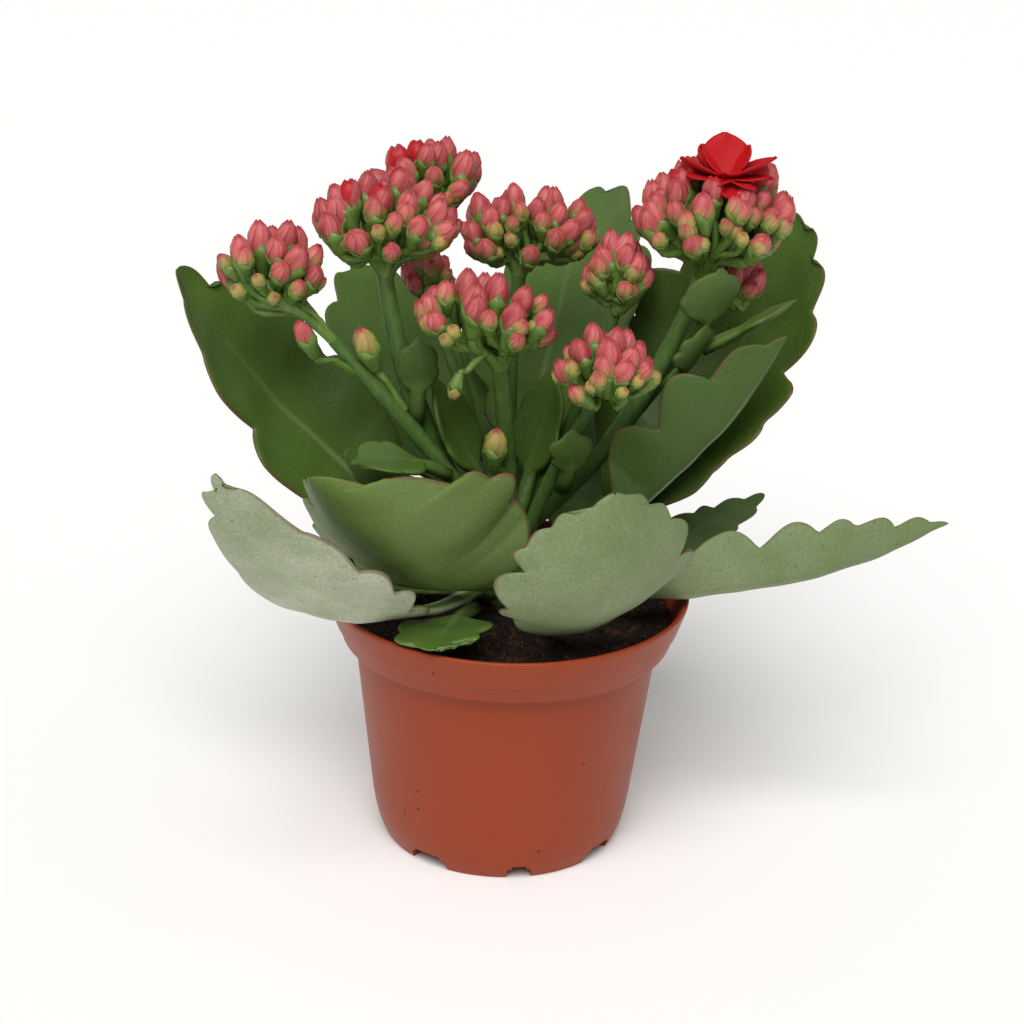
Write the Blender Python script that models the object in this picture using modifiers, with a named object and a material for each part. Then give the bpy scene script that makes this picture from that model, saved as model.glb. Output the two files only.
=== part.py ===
"""A flowering kalanchoe in a moulded nursery pot.

The origin is the middle of the pot's standing face, +Z is up and -Y is the plant's front.
Sizes are in millimetres and are turned to metres by MM. Each leaf, stem, flower head and bud
is its own object, with a small gap to its neighbours.
"""

import collections
import math

import bmesh
import bpy
from mathutils import Vector

MM = 0.001

# Pot: a turned shell, mouth 105 wide, with a rim band, a step below it and a notched foot.
POT_SIDES = 40
POT_HEIGHT = 76.5
MOUTH_RADIUS = 52.5
LIP_THICKNESS = 1.8
BAND_FOOT_Z = 64.0
BAND_FOOT_RADIUS = 48.4
STEP_Z = 60.4
WALL_TOP_RADIUS = 43.8
WALL_FOOT_Z = 9.0
WALL_FOOT_RADIUS = 37.6
FOOT_RADIUS = 34.4
WALL_THICKNESS = 1.4
FLOOR_THICKNESS = 1.6
PAD_RADIUS = 13.0
CHANNEL_Z = 5.0
FOOT_RING_WIDTH = 3.0
NOTCH_COUNT = 8
NOTCH_TURN = 10.0
NOTCH_HEIGHT = 4.4
NOTCH_WIDTHS = (6.5, 11.0)
NOTCH_BEVEL = 1.2
DRAIN_RADIUS = 2.6
DRAIN_RING_RADIUS = 24.0

# Soil: fills the pot to a little under the rim, and rises slightly round the stem.
SOIL_GAP = 0.4
SOIL_EDGE_Z = 68.5
SOIL_MIDDLE_Z = 70.5

# Main stem: short and stout, with a widened head that carries the flower stems.
STEM_RADIUS = 4.8
CROWN_RADIUS = 8.8
CROWN_Z = 95.5
TRUNK_NECK_Z = 80.0
TRUNK_SWELL_Z, TRUNK_SWELL_RADIUS = 89.0, 6.0

# Leaves: fleshy blades, folded along the midrib, with lobed margins.
LEAF_THICKNESS = 2.0
STALK_SHARE = 0.2
STALK_HALF_WIDTH = 2.4
LOBE_DEPTH = 0.13
MIDRIB_STEPS = 60

# Flower heads: domes of closed buds on a branching base; each bump is a bud.
BUD_RELIEF = 0.07

LEAF_FIELDS = "name base heading rise_start rise_end length half_width roll fold swing lobes"
Leaf = collections.namedtuple("Leaf", LEAF_FIELDS)
Stem = collections.namedtuple("Stem", "name start bend end radii")
Head = collections.namedtuple("Head", "name centre radii base")
Bud = collections.namedtuple("Bud", "name middle radius height lean")

# base in mm; heading 0 is +X and 90 is +Y; rise is the midrib's slope at its two ends; roll
# turns the blade about the midrib, fold lifts its two halves, swing bends it sideways.
LEAVES = [
    Leaf("leaf_upright_left", (-6.5, -1, 82), 164, 24, 63, 125, 26, -33, 18, 27, 6),
    Leaf("leaf_upright_right", (6.5, 4, 86), 15, 23, 77, 128, 34, 19, 26, 23, 6),
    Leaf("leaf_lower_left", (-9, -10, 79.5), 236, -5, 68, 113, 19, 36, 8, -34, 6),
    Leaf("leaf_front_left", (-1, -9, 82), 237, 8, 60, 84, 37, 33, 25, -42, 6),
    Leaf("leaf_front_centre", (5, -12, 76.5), -58, -16, 113, 81, 32, -2, 17, -4, 6),
    Leaf("leaf_front_right", (11, -10, 84), 0, 38, 63, 99, 29, -28, 40, -11, 5),
    Leaf("leaf_lower_right", (9, -6, 80.7), -13, -3.5, 24, 120, 19, -46, 38, 30, 6),
    Leaf("leaf_side_right", (8.5, 3, 79), 22, -2, 14, 86, 9, 14, 10, 27, 5),
    Leaf("leaf_back_tall", (1, 8, 87), 72, 65, 28, 120, 30, -30, 10, 6, 5),
    Leaf("leaf_back_left", (-5, 9, 88), 128, 36, 44, 100, 23, 6, 10, -3, 5),
    Leaf("leaf_back_low", (-1, 8, 78), 96, 4, 38, 98, 27, 0, 22, 10, 6),
    Leaf("leaf_back_right", (6, 8, 79), 52, 10, 40, 90, 24, 10, 20, 8, 5),
    Leaf("leaf_on_soil_front", (-11, -17, 75.6), 250, 8, 4, 36, 14.5, 6, 5, 12, 4),
    Leaf("leaf_on_soil_left", (-8, -2, 75), 188, 4, 2, 35, 8, 10, 5, 0, 4),
    Leaf("leaf_side_left", (-8, 3, 76), 168, 4, 10, 50, 8, 10, 5, -5, 4),
    Leaf("leaf_inner_left", (-9, -5, 91), 186, 22, 52, 48, 13, -20, 15, 0, 4),
    Leaf("leaf_inner_front", (-3, -12, 103), 215, 35, 60, 17, 7, 0, 10, 0, 2),
    Leaf("leaf_mid_left", (-6, -5, 107), 160, 50, 70, 37, 12, 0, 10, 0, 2),
    Leaf("leaf_mid_right", (3.2, -3.6, 105), 55, 64, 75, 38, 12, -20, 10, 0, 2),
    Leaf("bract_left_stem", (-21, -14, 117), 212, 30, -10, 26, 14, 0, 5, -20, 2),
    Leaf("bract_left_upper", (-27, -8, 133), -80, 82, 92, 21, 6.5, 0, 10, 0, 2),
    Leaf("bract_front_right", (15, -15, 116), -70, 65, 85, 17, 7, 0, 5, 0, 2),
    Leaf("bract_right_upper", (50, -6, 157), -60, 60, 78, 22, 10, 0, 10, 0, 2),
    Leaf("bract_right_lower", (44, -9, 145), -35, 50, 75, 19, 9, 0, 10, 0, 2),
    Leaf("bract_right_narrow", (55, -5, 154), -5, 30, 38, 25, 4, 0, 10, 0, 2),
]

# Each stem runs along one smooth bend from the crown to its flower head.
STEMS = [
    Stem("stem_left_tall", (-5.9, -0.6, 97), (-27, -3, 112), (-37, 0, 167), (2.0, 3.2, 2.2)),
    Stem("stem_left", (-5.0, -5.2, 97), (-20, -10, 119), (-50, -11, 151), (1.8, 2.4, 1.7)),
    Stem("stem_front", (0, -6.2, 97), (-1, -6, 118), (-4, -15, 146), (1.9, 2.5, 2.4)),
    Stem("stem_front_right", (5.0, -5.0, 97), (12, -11, 118), (22, -15, 138), (1.8, 2.2, 1.7)),
    Stem("stem_right_tall", (7.0, 0.6, 97), (34, -1, 122), (50, 2, 168), (1.9, 2.6, 2.2)),
    Stem("stem_right_inner", (2.4, 1.0, 97), (19, 5, 128), (27, 0, 159), (1.6, 1.8, 1.6)),
    Stem("stem_right_rear", (5.6, 5.0, 97), (34, 6, 122), (56, 10, 160), (1.6, 1.8, 1.5)),
    Stem("stem_back", (1.2, 6.0, 97), (-4, 20, 130), (0, 15, 164), (1.8, 2.2, 2.0)),
    Stem("stem_back_left", (-3.2, 5.0, 97), (-18, 27, 130), (-27, 34, 175), (1.8, 2.0, 1.8)),
    Stem("stem_inner_left", (-2.4, 0.4, 97), (-12, 13, 125), (-25, 20, 152), (1.4, 1.5, 1.3)),
]

HEADS = [
    Head("flower_head_left", (-66, -8, 172), (16, 13, 13), (-51, -11, 153.5)),
    Head("flower_head_left_tall", (-37, 0, 184), (20, 16, 14), (-37, 0, 169.5)),
    Head("flower_head_back_left", (-27, 37, 188), (16, 13, 11), (-27, 34, 177.5)),
    Head("flower_head_back", (3, 18, 179), (21, 14, 12), (0, 15, 166.5)),
    Head("flower_head_inner", (-26, 21, 163), (8, 7, 8), (-25, 20, 154)),
    Head("flower_head_front", (-9, -19, 165), (20, 14, 11), (-4, -15, 148.5)),
    Head("flower_head_right_inner", (27, -2, 173), (10, 9, 11), (27, 0, 161)),
    Head("flower_head_front_right", (24, -26, 153), (15, 12, 12), (22, -15, 140.5)),
    Head("flower_head_right", (53, 2, 190), (22, 18, 15), (50, 2, 170.5)),
    Head("flower_head_right_rear", (61, 14, 168), (9, 7, 7), (56, 10, 162)),
]

BUDS = [
    Bud("bud_left_low", (-57, -20, 156), 3.6, 5.0, (-0.4, -0.2)),
    Bud("bud_left_inner", (-41, -12, 152), 3.8, 5.2, (-0.4, -0.3)),
    Bud("bud_hanging", (-17, -24, 146), 2.0, 4.6, (-0.1, 0.0)),
    Bud("bud_front_low", (-4.5, -15, 125), 3.6, 5.6, (0.0, -0.2)),
]

OPEN_FLOWER_MIDDLE = (57, 2, 207.8)
OPEN_FLOWER_RADIUS = 12.0
OPEN_FLOWER_PETALS = 8


def principled(name, colour, roughness):
    material = bpy.data.materials.new(name)
    material.use_nodes = True
    shader = material.node_tree.nodes["Principled BSDF"]
    shader.inputs["Base Color"].default_value = (*colour, 1)
    shader.inputs["Roughness"].default_value = roughness
    shader.inputs["Metallic"].default_value = 0
    return material


def add_object(name, data, material, collection):
    """One sub-part: its mesh or curve, its own material, in the given collection."""
    data.materials.append(material)
    part = bpy.data.objects.new(name, data)
    collection.objects.link(part)
    return part


def mesh_from(name, build, smooth=True):
    """A mesh made by build(bm), in millimetres, scaled to metres."""
    bm = bmesh.new()
    build(bm)
    bmesh.ops.scale(bm, vec=Vector((MM, MM, MM)), verts=bm.verts)
    mesh = bpy.data.meshes.new(name)
    bm.to_mesh(mesh)
    bm.free()
    if smooth:
        mesh.shade_smooth()
    return mesh


def add_turned(name, profile, material, collection):
    """A solid turned about Z. The profile runs from the axis at the top to the axis below."""

    def build(bm):
        corners = [bm.verts.new((radius, 0, z)) for radius, z in profile]
        for first, second in zip(corners, corners[1:]):
            bm.edges.new((first, second))

    part = add_object(name, mesh_from(name, build, smooth=False), material, collection)
    screw = part.modifiers.new("turn", "SCREW")
    screw.steps = POT_SIDES
    screw.render_steps = POT_SIDES
    screw.use_merge_vertices = True
    screw.merge_threshold = 0.00001
    screw.use_smooth_shade = True
    return part


def wall_inner_radius(z):
    """The pot's inner wall between its floor and its step."""
    share = (z - WALL_FOOT_Z) / (STEP_Z - WALL_FOOT_Z)
    return WALL_FOOT_RADIUS + share * (WALL_TOP_RADIUS - WALL_FOOT_RADIUS) - WALL_THICKNESS


def band_inner_radius(z):
    """The inner face of the rim band."""
    share = (z - BAND_FOOT_Z) / (POT_HEIGHT - BAND_FOOT_Z)
    return BAND_FOOT_RADIUS + share * (MOUTH_RADIUS - BAND_FOOT_RADIUS) - LIP_THICKNESS


def pot_profile():
    floor_top = CHANNEL_Z + FLOOR_THICKNESS
    inside = [
        (0, FLOOR_THICKNESS),
        (PAD_RADIUS - 1, FLOOR_THICKNESS),
        (PAD_RADIUS + 3, floor_top),
        (FOOT_RADIUS - 1, floor_top),
        (wall_inner_radius(WALL_FOOT_Z + 3), WALL_FOOT_Z + 3),
        (WALL_TOP_RADIUS - WALL_THICKNESS, STEP_Z + 1.4),
        (band_inner_radius(BAND_FOOT_Z + 2), BAND_FOOT_Z + 2),
        (band_inner_radius(POT_HEIGHT - 0.4), POT_HEIGHT - 0.4),
        (MOUTH_RADIUS - LIP_THICKNESS + 0.5, POT_HEIGHT),
    ]
    outside = [
        (MOUTH_RADIUS - 0.5, POT_HEIGHT),
        (MOUTH_RADIUS, POT_HEIGHT - 0.5),
        (BAND_FOOT_RADIUS, BAND_FOOT_Z),
        (BAND_FOOT_RADIUS - 0.8, BAND_FOOT_Z - 0.6),
        (WALL_TOP_RADIUS, STEP_Z),
        (WALL_FOOT_RADIUS, WALL_FOOT_Z),
        (FOOT_RADIUS + 1.8, 4.0),
        (FOOT_RADIUS, 0),
    ]
    underside = [
        (FOOT_RADIUS - FOOT_RING_WIDTH, 0),
        (FOOT_RADIUS - FOOT_RING_WIDTH, CHANNEL_Z),
        (PAD_RADIUS + 2, CHANNEL_Z),
        (PAD_RADIUS, 0),
        (0, 0),
    ]
    return inside + outside + underside


def add_cutter(name, mesh, place, turn, collection):
    cutter = bpy.data.objects.new(name, mesh)
    cutter.location = [value * MM for value in place]
    cutter.rotation_euler = (0, 0, turn)
    cutter.hide_render = True
    cutter.display_type = "WIRE"
    collection.objects.link(cutter)
    return cutter


def cut(part, cutter):
    boolean = part.modifiers.new(cutter.name, "BOOLEAN")
    boolean.operation = "DIFFERENCE"
    boolean.object = cutter


def notch_mesh(width):
    """A block as wide as one notch, long enough to cross the foot ring, with rounded corners."""

    def build(bm):
        bmesh.ops.create_cube(bm, size=1)
        bmesh.ops.scale(bm, vec=Vector((12, width, 2 * NOTCH_HEIGHT)), verts=bm.verts)
        along = [e for e in bm.edges if abs(e.verts[0].co.x - e.verts[1].co.x) > 1]
        bmesh.ops.bevel(bm, geom=along, offset=NOTCH_BEVEL, segments=2, affect="EDGES")

    return mesh_from("notch_block", build)


def drain_mesh():
    def build(bm):
        bmesh.ops.create_cone(
            bm,
            cap_ends=True,
            segments=12,
            radius1=DRAIN_RADIUS,
            radius2=DRAIN_RADIUS,
            depth=6 * FLOOR_THICKNESS,
        )

    return mesh_from("drain_cylinder", build)


def add_pot(collection, cutters):
    material = principled("terracotta_plastic", (0.42, 0.10, 0.045), 0.42)
    pot = add_turned("pot", pot_profile(), material, collection)
    drain = drain_mesh()
    for index in range(NOTCH_COUNT):
        turn = math.radians(NOTCH_TURN - 90 + index * 360 / NOTCH_COUNT)
        direction = Vector((math.cos(turn), math.sin(turn), 0))
        block = notch_mesh(NOTCH_WIDTHS[index % 2])
        place = direction * (FOOT_RADIUS - FOOT_RING_WIDTH / 2)
        cut(pot, add_cutter(f"notch_{index}", block, place, turn, cutters))
        hole = direction * DRAIN_RING_RADIUS + Vector((0, 0, CHANNEL_Z))
        cut(pot, add_cutter(f"drain_{index}", drain, hole, turn, cutters))
    return pot


def add_soil(collection):
    material = principled("peat", (0.035, 0.018, 0.010), 0.95)
    floor_top = CHANNEL_Z + FLOOR_THICKNESS
    profile = [
        (0, SOIL_MIDDLE_Z),
        (12, SOIL_MIDDLE_Z - 0.3),
        (30, SOIL_MIDDLE_Z - 1.2),
        (band_inner_radius(SOIL_EDGE_Z) - 2 * SOIL_GAP, SOIL_EDGE_Z),
        (band_inner_radius(BAND_FOOT_Z + 2) - 2 * SOIL_GAP, BAND_FOOT_Z + 2),
        (WALL_TOP_RADIUS - WALL_THICKNESS - 2 * SOIL_GAP, STEP_Z + 1.4),
        (wall_inner_radius(WALL_FOOT_Z + 3) - 2 * SOIL_GAP, WALL_FOOT_Z + 3),
        (FOOT_RADIUS - 3, floor_top + SOIL_GAP),
        (PAD_RADIUS + 3, floor_top + SOIL_GAP),
        (PAD_RADIUS - 2, FLOOR_THICKNESS + SOIL_GAP),
        (0, FLOOR_THICKNESS + SOIL_GAP),
    ]
    return add_turned("potting_soil", profile, material, collection)


def along_bend(stem, share):
    """A point on the stem's bend, from its start (0) to its end (1)."""
    start, bend, end = Vector(stem.start), Vector(stem.bend), Vector(stem.end)
    return (1 - share) ** 2 * start + 2 * share * (1 - share) * bend + share**2 * end


def stem_radius(stem, share):
    """Thickest in the middle of the stem, thinner at the crown and under the flowers."""
    low, middle, high = stem.radii
    if share < 0.5:
        return low + (middle - low) * math.sin(math.pi * share)
    return middle + (high - middle) * (2 * share - 1)


def add_tube(name, points, radii, material, collection, points_round=2):
    """A round stem along the points, with filled ends."""
    curve = bpy.data.curves.new(name, "CURVE")
    curve.dimensions = "3D"
    curve.bevel_depth = MM
    curve.bevel_resolution = points_round
    curve.use_fill_caps = True
    spline = curve.splines.new("POLY")
    spline.points.add(len(points) - 1)
    for corner, point, radius in zip(spline.points, points, radii):
        corner.co = (*(point * MM), 1)
        corner.radius = radius
    return add_object(name, curve, material, collection)


def add_stems(collection):
    material = principled("green_stem", (0.10, 0.22, 0.05), 0.45)
    trunk = [Vector((0, 0, z)) for z in (SOIL_MIDDLE_Z + SOIL_GAP, TRUNK_NECK_Z, TRUNK_SWELL_Z, CROWN_Z)]
    trunk_radii = (STEM_RADIUS, STEM_RADIUS, TRUNK_SWELL_RADIUS, CROWN_RADIUS)
    add_tube("main_stem", trunk, trunk_radii, material, collection)
    for stem in STEMS:
        shares = [index / 7 for index in range(8)]
        points = [along_bend(stem, share) for share in shares]
        radii = [stem_radius(stem, share) for share in shares]
        add_tube(stem.name, points, radii, material, collection)


def midrib_frames(leaf, shares):
    """Point, side vector and face normal of the leaf at each share of its length."""
    point = Vector(leaf.base)
    step = leaf.length / MIDRIB_STEPS
    frames = []
    wanted = list(shares)
    for index in range(MIDRIB_STEPS + 1):
        share = index / MIDRIB_STEPS
        rise = math.radians(leaf.rise_start + (leaf.rise_end - leaf.rise_start) * share)
        heading = math.radians(leaf.heading + leaf.swing * share)
        roll = math.radians(leaf.roll * min(1, share / 0.35))
        flat = Vector((math.cos(heading), math.sin(heading), 0))
        ahead = flat * math.cos(rise) + Vector((0, 0, math.sin(rise)))
        side = Vector((-math.sin(heading), math.cos(heading), 0))
        up = ahead.cross(side)
        turned_side = side * math.cos(roll) + up * math.sin(roll)
        turned_up = up * math.cos(roll) - side * math.sin(roll)
        while wanted and wanted[0] <= share + 1e-6:
            frames.append((point.copy(), turned_side, turned_up))
            wanted.pop(0)
        point = point + ahead * step
    return frames


def blade_share(share):
    return max(0.0, (share - STALK_SHARE) / (1 - STALK_SHARE))


def half_width(leaf, share, at_lobe):
    """Half the blade's width: an oval that starts at the stalk, notched between the lobes."""
    along = blade_share(share)
    oval = math.sin(math.pi * min(1, along) ** 0.9) ** 0.72 if 0 < along < 1 else 0
    notch = 1 if at_lobe or along < 0.15 else 1 - LOBE_DEPTH
    return max(STALK_HALF_WIDTH * min(1, (1 - along) * 6), leaf.half_width * oval * notch)


def leaf_rows(leaf):
    """Shares of the length with a flag for the crest of a lobe: the stalk, then the lobes."""
    rows = [(0.0, True), (0.1, True), (STALK_SHARE, True), (STALK_SHARE + 0.05, True)]
    for lobe in range(leaf.lobes):
        start = 0.12 + 0.88 * lobe / leaf.lobes
        crest = start + 0.88 * 0.6 / leaf.lobes
        for along, at_lobe in ((start, False), (crest, True)):
            rows.append((STALK_SHARE + (1 - STALK_SHARE) * along, at_lobe))
    rows.append((0.985, True))
    return sorted(rows)


def leaf_mesh(leaf):
    """The blade's middle surface: rows across the midrib, three points each."""
    rows = leaf_rows(leaf)

    def build(bm):
        frames = midrib_frames(leaf, [share for share, _ in rows])
        lines = []
        for (share, at_lobe), (point, side, up) in zip(rows, frames):
            width = half_width(leaf, share, at_lobe)
            fold = math.radians(leaf.fold) * min(1, max(0.3, 4 * blade_share(share)))
            line = []
            for across in (-1, 0, 1):
                out = side * (across * width * math.cos(fold))
                lift = up * (abs(across) * width * math.sin(fold))
                line.append(bm.verts.new(point + out + lift))
            lines.append(line)
        for low, high in zip(lines, lines[1:]):
            bm.faces.new((low[0], low[1], high[1], high[0]))
            bm.faces.new((low[1], low[2], high[2], high[1]))
        bmesh.ops.recalc_face_normals(bm, faces=bm.faces)

    return mesh_from(leaf.name, build)


def add_leaves(collection):
    material = principled("green_leaf", (0.065, 0.17, 0.035), 0.5)
    for leaf in LEAVES:
        part = add_object(leaf.name, leaf_mesh(leaf), material, collection)
        solidify = part.modifiers.new("flesh", "SOLIDIFY")
        solidify.thickness = LEAF_THICKNESS * MM
        solidify.offset = 0


def dome_mesh(head):
    """A dome of buds. Its underside narrows to the branching base."""

    def build(bm):
        bmesh.ops.create_icosphere(bm, subdivisions=2, radius=1)
        base = Vector(head.base) - Vector(head.centre)
        for index, vert in enumerate(bm.verts):
            ball = vert.co.normalized()
            relief = 1 + BUD_RELIEF * (1 if index % 3 == 0 else -1)
            shell = Vector([ball[axis] * head.radii[axis] * relief for axis in range(3)])
            below = min(1, max(0, (-ball.z - 0.35) / 0.65))
            vert.co = Vector(head.centre) + shell.lerp(base + ball * 1.6, below)

    return mesh_from(head.name, build)


def add_flower_heads(collection):
    material = principled("coral_buds", (0.66, 0.15, 0.13), 0.5)
    for head in HEADS:
        add_object(head.name, dome_mesh(head), material, collection)


def add_buds(collection):
    material = principled("young_bud", (0.55, 0.42, 0.12), 0.5)
    for bud in BUDS:

        def build(bm, bud=bud):
            bmesh.ops.create_uvsphere(bm, u_segments=8, v_segments=6, radius=1)
            for vert in bm.verts:
                x, y, z = vert.co
                lean = Vector((bud.lean[0] * z * bud.radius, bud.lean[1] * z * bud.radius, 0))
                shape = Vector((x * bud.radius, y * bud.radius, z * bud.height))
                vert.co = Vector(bud.middle) + shape + lean

        add_object(bud.name, mesh_from(bud.name, build), material, collection)


def add_open_flower(collection):
    """The open double flower: one low rosette with a scalloped outline."""
    material = principled("scarlet_petals", (0.62, 0.006, 0.008), 0.45)

    def build(bm):
        bmesh.ops.create_uvsphere(bm, u_segments=2 * OPEN_FLOWER_PETALS, v_segments=6, radius=1)
        for vert in bm.verts:
            x, y, z = vert.co
            angle = math.atan2(y, x)
            scallop = 1 + 0.1 * math.cos(OPEN_FLOWER_PETALS * angle)
            radius = OPEN_FLOWER_RADIUS * scallop
            vert.co = Vector(OPEN_FLOWER_MIDDLE) + Vector((x * radius, y * radius, z * 3.6))

    add_object("open_flower", mesh_from("open_flower", build), material, collection)


def add_collection(name):
    collection = bpy.data.collections.new(name)
    bpy.context.scene.collection.children.link(collection)
    return collection


for leftover in list(bpy.data.objects):
    bpy.data.objects.remove(leftover)

kalanchoe = add_collection("potted_kalanchoe")
pot_cutters = add_collection("pot_cutters")
pot_cutters.hide_render = True

add_pot(kalanchoe, pot_cutters)
add_soil(kalanchoe)
add_stems(kalanchoe)
add_leaves(kalanchoe)
add_flower_heads(kalanchoe)
add_buds(kalanchoe)
add_open_flower(kalanchoe)
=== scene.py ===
"""A flowering kalanchoe in its nursery pot: every visible piece, built round the fixed frame."""
import collections
import functools
import math
import random

import bmesh
import bpy
import numpy as np
from mathutils import Matrix, Vector, noise


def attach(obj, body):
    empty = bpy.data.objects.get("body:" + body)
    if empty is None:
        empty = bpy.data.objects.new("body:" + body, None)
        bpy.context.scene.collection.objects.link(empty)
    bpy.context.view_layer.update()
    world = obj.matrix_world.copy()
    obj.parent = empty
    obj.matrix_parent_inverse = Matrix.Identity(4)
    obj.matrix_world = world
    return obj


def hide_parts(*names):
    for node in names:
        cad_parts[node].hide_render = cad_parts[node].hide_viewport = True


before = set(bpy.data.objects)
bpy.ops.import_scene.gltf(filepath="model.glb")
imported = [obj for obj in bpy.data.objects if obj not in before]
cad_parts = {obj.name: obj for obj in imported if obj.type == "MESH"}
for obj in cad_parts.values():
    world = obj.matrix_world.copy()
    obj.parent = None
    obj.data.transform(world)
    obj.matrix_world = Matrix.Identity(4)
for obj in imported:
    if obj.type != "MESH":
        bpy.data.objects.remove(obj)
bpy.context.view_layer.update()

# Studio. A plain pale floor under an even white sky, and one very broad soft light in front, above
# and a little to the left. The camera looks down on the pot by 22 degrees.
MM = 0.001
CAMERA_TARGET = Vector((0.0004, 0, 0.0995))
CAMERA_DISTANCE = 0.7
CAMERA_PITCH = math.radians(22.1)
CAMERA_ROLL = math.radians(-2.1)
CAMERA_LENS = 86.27
CAMERA_REACH = 20
FLOOR_RADIUS, FLOOR_SIDES = 4.0, 96
SKY_STRENGTH = 0.38
KEY_HEIGHT, KEY_TURN = math.radians(54), math.radians(-8)
KEY_STRENGTH = 2.85
KEY_SOFTNESS = math.radians(42)


def srgb(code):
    """A hex colour such as 9C452D, as the linear colour that a shader takes."""
    shares = [int(code[place : place + 2], 16) / 255 for place in (0, 2, 4)]
    linear = [s / 12.92 if s <= 0.04045 else ((s + 0.055) / 1.055) ** 2.4 for s in shares]
    return (*linear, 1)


def add_node(tree, kind, inputs=None, out=0, **settings):
    """One node with its settings, given back as its output socket. The inputs map a socket's name
    or number to a value, a link or a list of links."""
    node = tree.nodes.new(kind)
    for name, value in settings.items():
        setattr(node, name, value)
    for key, value in (inputs or {}).items():
        for item in value if isinstance(value, list) else [value]:
            if isinstance(item, bpy.types.NodeSocket):
                tree.links.new(item, node.inputs[key])
            else:
                node.inputs[key].default_value = item
    return node.outputs[out] if len(node.outputs) else None


def new_material(name, **values):
    """A material with only a Principled shader, whose plain values are set by socket name, and the
    function that adds a node to it."""
    material = bpy.data.materials.new(name)
    material.use_nodes = True
    inputs = material.node_tree.nodes["Principled BSDF"].inputs
    for key, value in values.items():
        inputs[key.replace("_", " ")].default_value = value
    return material, functools.partial(add_node, material.node_tree)


def add_object(name, data):
    """A new object in the scene, with that mesh, light or camera."""
    obj = bpy.data.objects.new(name, data)
    bpy.context.scene.collection.objects.link(obj)
    return obj


def object_from(name, bm, material=None, smooth=True, scale=MM):
    """A new object from a bmesh, which is in millimetres unless a scale is given."""
    bmesh.ops.scale(bm, vec=(scale, scale, scale), verts=bm.verts)
    mesh = bpy.data.meshes.new(name)
    bm.to_mesh(mesh)
    bm.free()
    if smooth:
        mesh.shade_smooth()
    if material:
        mesh.materials.append(material)
    return add_object(name, mesh)


def add_studio():
    scene = bpy.context.scene
    scene.view_settings.view_transform = "Standard"
    world = bpy.data.worlds.new("white_sky")
    world.use_nodes = True
    sky = world.node_tree.nodes["Background"]
    sky.inputs["Color"].default_value = (1, 1, 1, 1)
    sky.inputs["Strength"].default_value = SKY_STRENGTH
    scene.world = world

    bm = bmesh.new()
    bmesh.ops.create_circle(bm, cap_ends=True, segments=FLOOR_SIDES, radius=FLOOR_RADIUS)
    # Matt paper, near white, so that the object stands on a plain pale ground.
    paper, _ = new_material("white_paper", Base_Color=srgb("F6F5F3"), Roughness=0.9)
    object_from("floor", bm, paper, smooth=False, scale=1)

    light = bpy.data.lights.new("key_light", "SUN")
    light.energy = KEY_STRENGTH
    light.angle = KEY_SOFTNESS
    lamp = add_object("key_light", light)
    lamp.rotation_euler = (math.pi / 2 - KEY_HEIGHT, 0, KEY_TURN)

    data = bpy.data.cameras.new("camera")
    data.lens = CAMERA_LENS
    data.clip_end = CAMERA_REACH
    camera = add_object("camera", data)
    ahead = Vector((0, math.cos(CAMERA_PITCH), -math.sin(CAMERA_PITCH)))
    right = Vector((1, 0, 0))
    up = right.cross(ahead)
    up_turned = up * math.cos(CAMERA_ROLL) + right * math.sin(CAMERA_ROLL)
    right_turned = right * math.cos(CAMERA_ROLL) - up * math.sin(CAMERA_ROLL)
    turn = Matrix((right_turned, up_turned, -ahead)).transposed().to_4x4()
    camera.matrix_world = Matrix.Translation(CAMERA_TARGET - ahead * CAMERA_DISTANCE) @ turn
    scene.camera = camera


add_studio()

# Pot. An injection-moulded polypropylene nursery pot: a thin wall, a rim band in two steps, and a
# notched foot ring so that it drains on a flat bench.
# Every size is in millimetres, with Z up from the bench; a Z and a radius together place a ring.
POT_TURNS = 168
MOUTH_RADIUS = 52.5
POT_HEIGHT = 76.5
LIP = 1.8
LEDGE_Z, LEDGE_RADIUS = 67.6, 49.75
BAND_FOOT_Z, BAND_FOOT_RADIUS = 62.6, 47.6
STEP_Z, WALL_TOP_RADIUS = 60.4, 43.8
WALL_FOOT_Z, WALL_FOOT_RADIUS = 9.0, 37.6
BAND_MIDDLE_Z, BAND_MIDDLE_RADIUS = 64.0, 48.4
INNER_STEP_Z = 66
WALL = 1.4
FOOT_RADIUS = 34.4
FOOT_RING = 3.0
CHANNEL_Z = 5.0
FLOOR = 1.6
PAD_RADIUS = 13.0
NOTCHES = 8
NOTCH_TURN = 10.0
NOTCH_HEIGHT = 4.4
NOTCH_WIDTHS = (6.5, 11.0)
NOTCH_LENGTH, NOTCH_FLARE, NOTCH_ROUNDING = 12, 1.25, 1.2
DRAIN_RADIUS, DRAIN_RING, DRAIN_DEPTH = 2.6, 24.0, 9
SHARP_ANGLE = math.radians(38)


def rounded(outline, radii, steps=4):
    """An outline whose corners are rounded: radii gives each corner's radius, 0 for a sharp one."""
    points = [Vector(p) for p in outline]
    smooth = []
    for index, (corner, radius) in enumerate(zip(points, radii)):
        if not radius:
            smooth.append(corner)
            continue
        back = (points[index - 1] - corner).normalized() * radius
        ahead = (points[index + 1] - corner).normalized() * radius
        for step in range(steps + 1):
            t = step / steps
            smooth.append(corner + back * (1 - t) ** 2 + ahead * t**2)
    return [tuple(p) for p in smooth]


def wall_inside(z):
    """The inner radius of the tapered wall at that height."""
    share = (z - WALL_FOOT_Z) / (STEP_Z - WALL_FOOT_Z)
    return WALL_FOOT_RADIUS + share * (WALL_TOP_RADIUS - WALL_FOOT_RADIUS) - WALL


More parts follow.
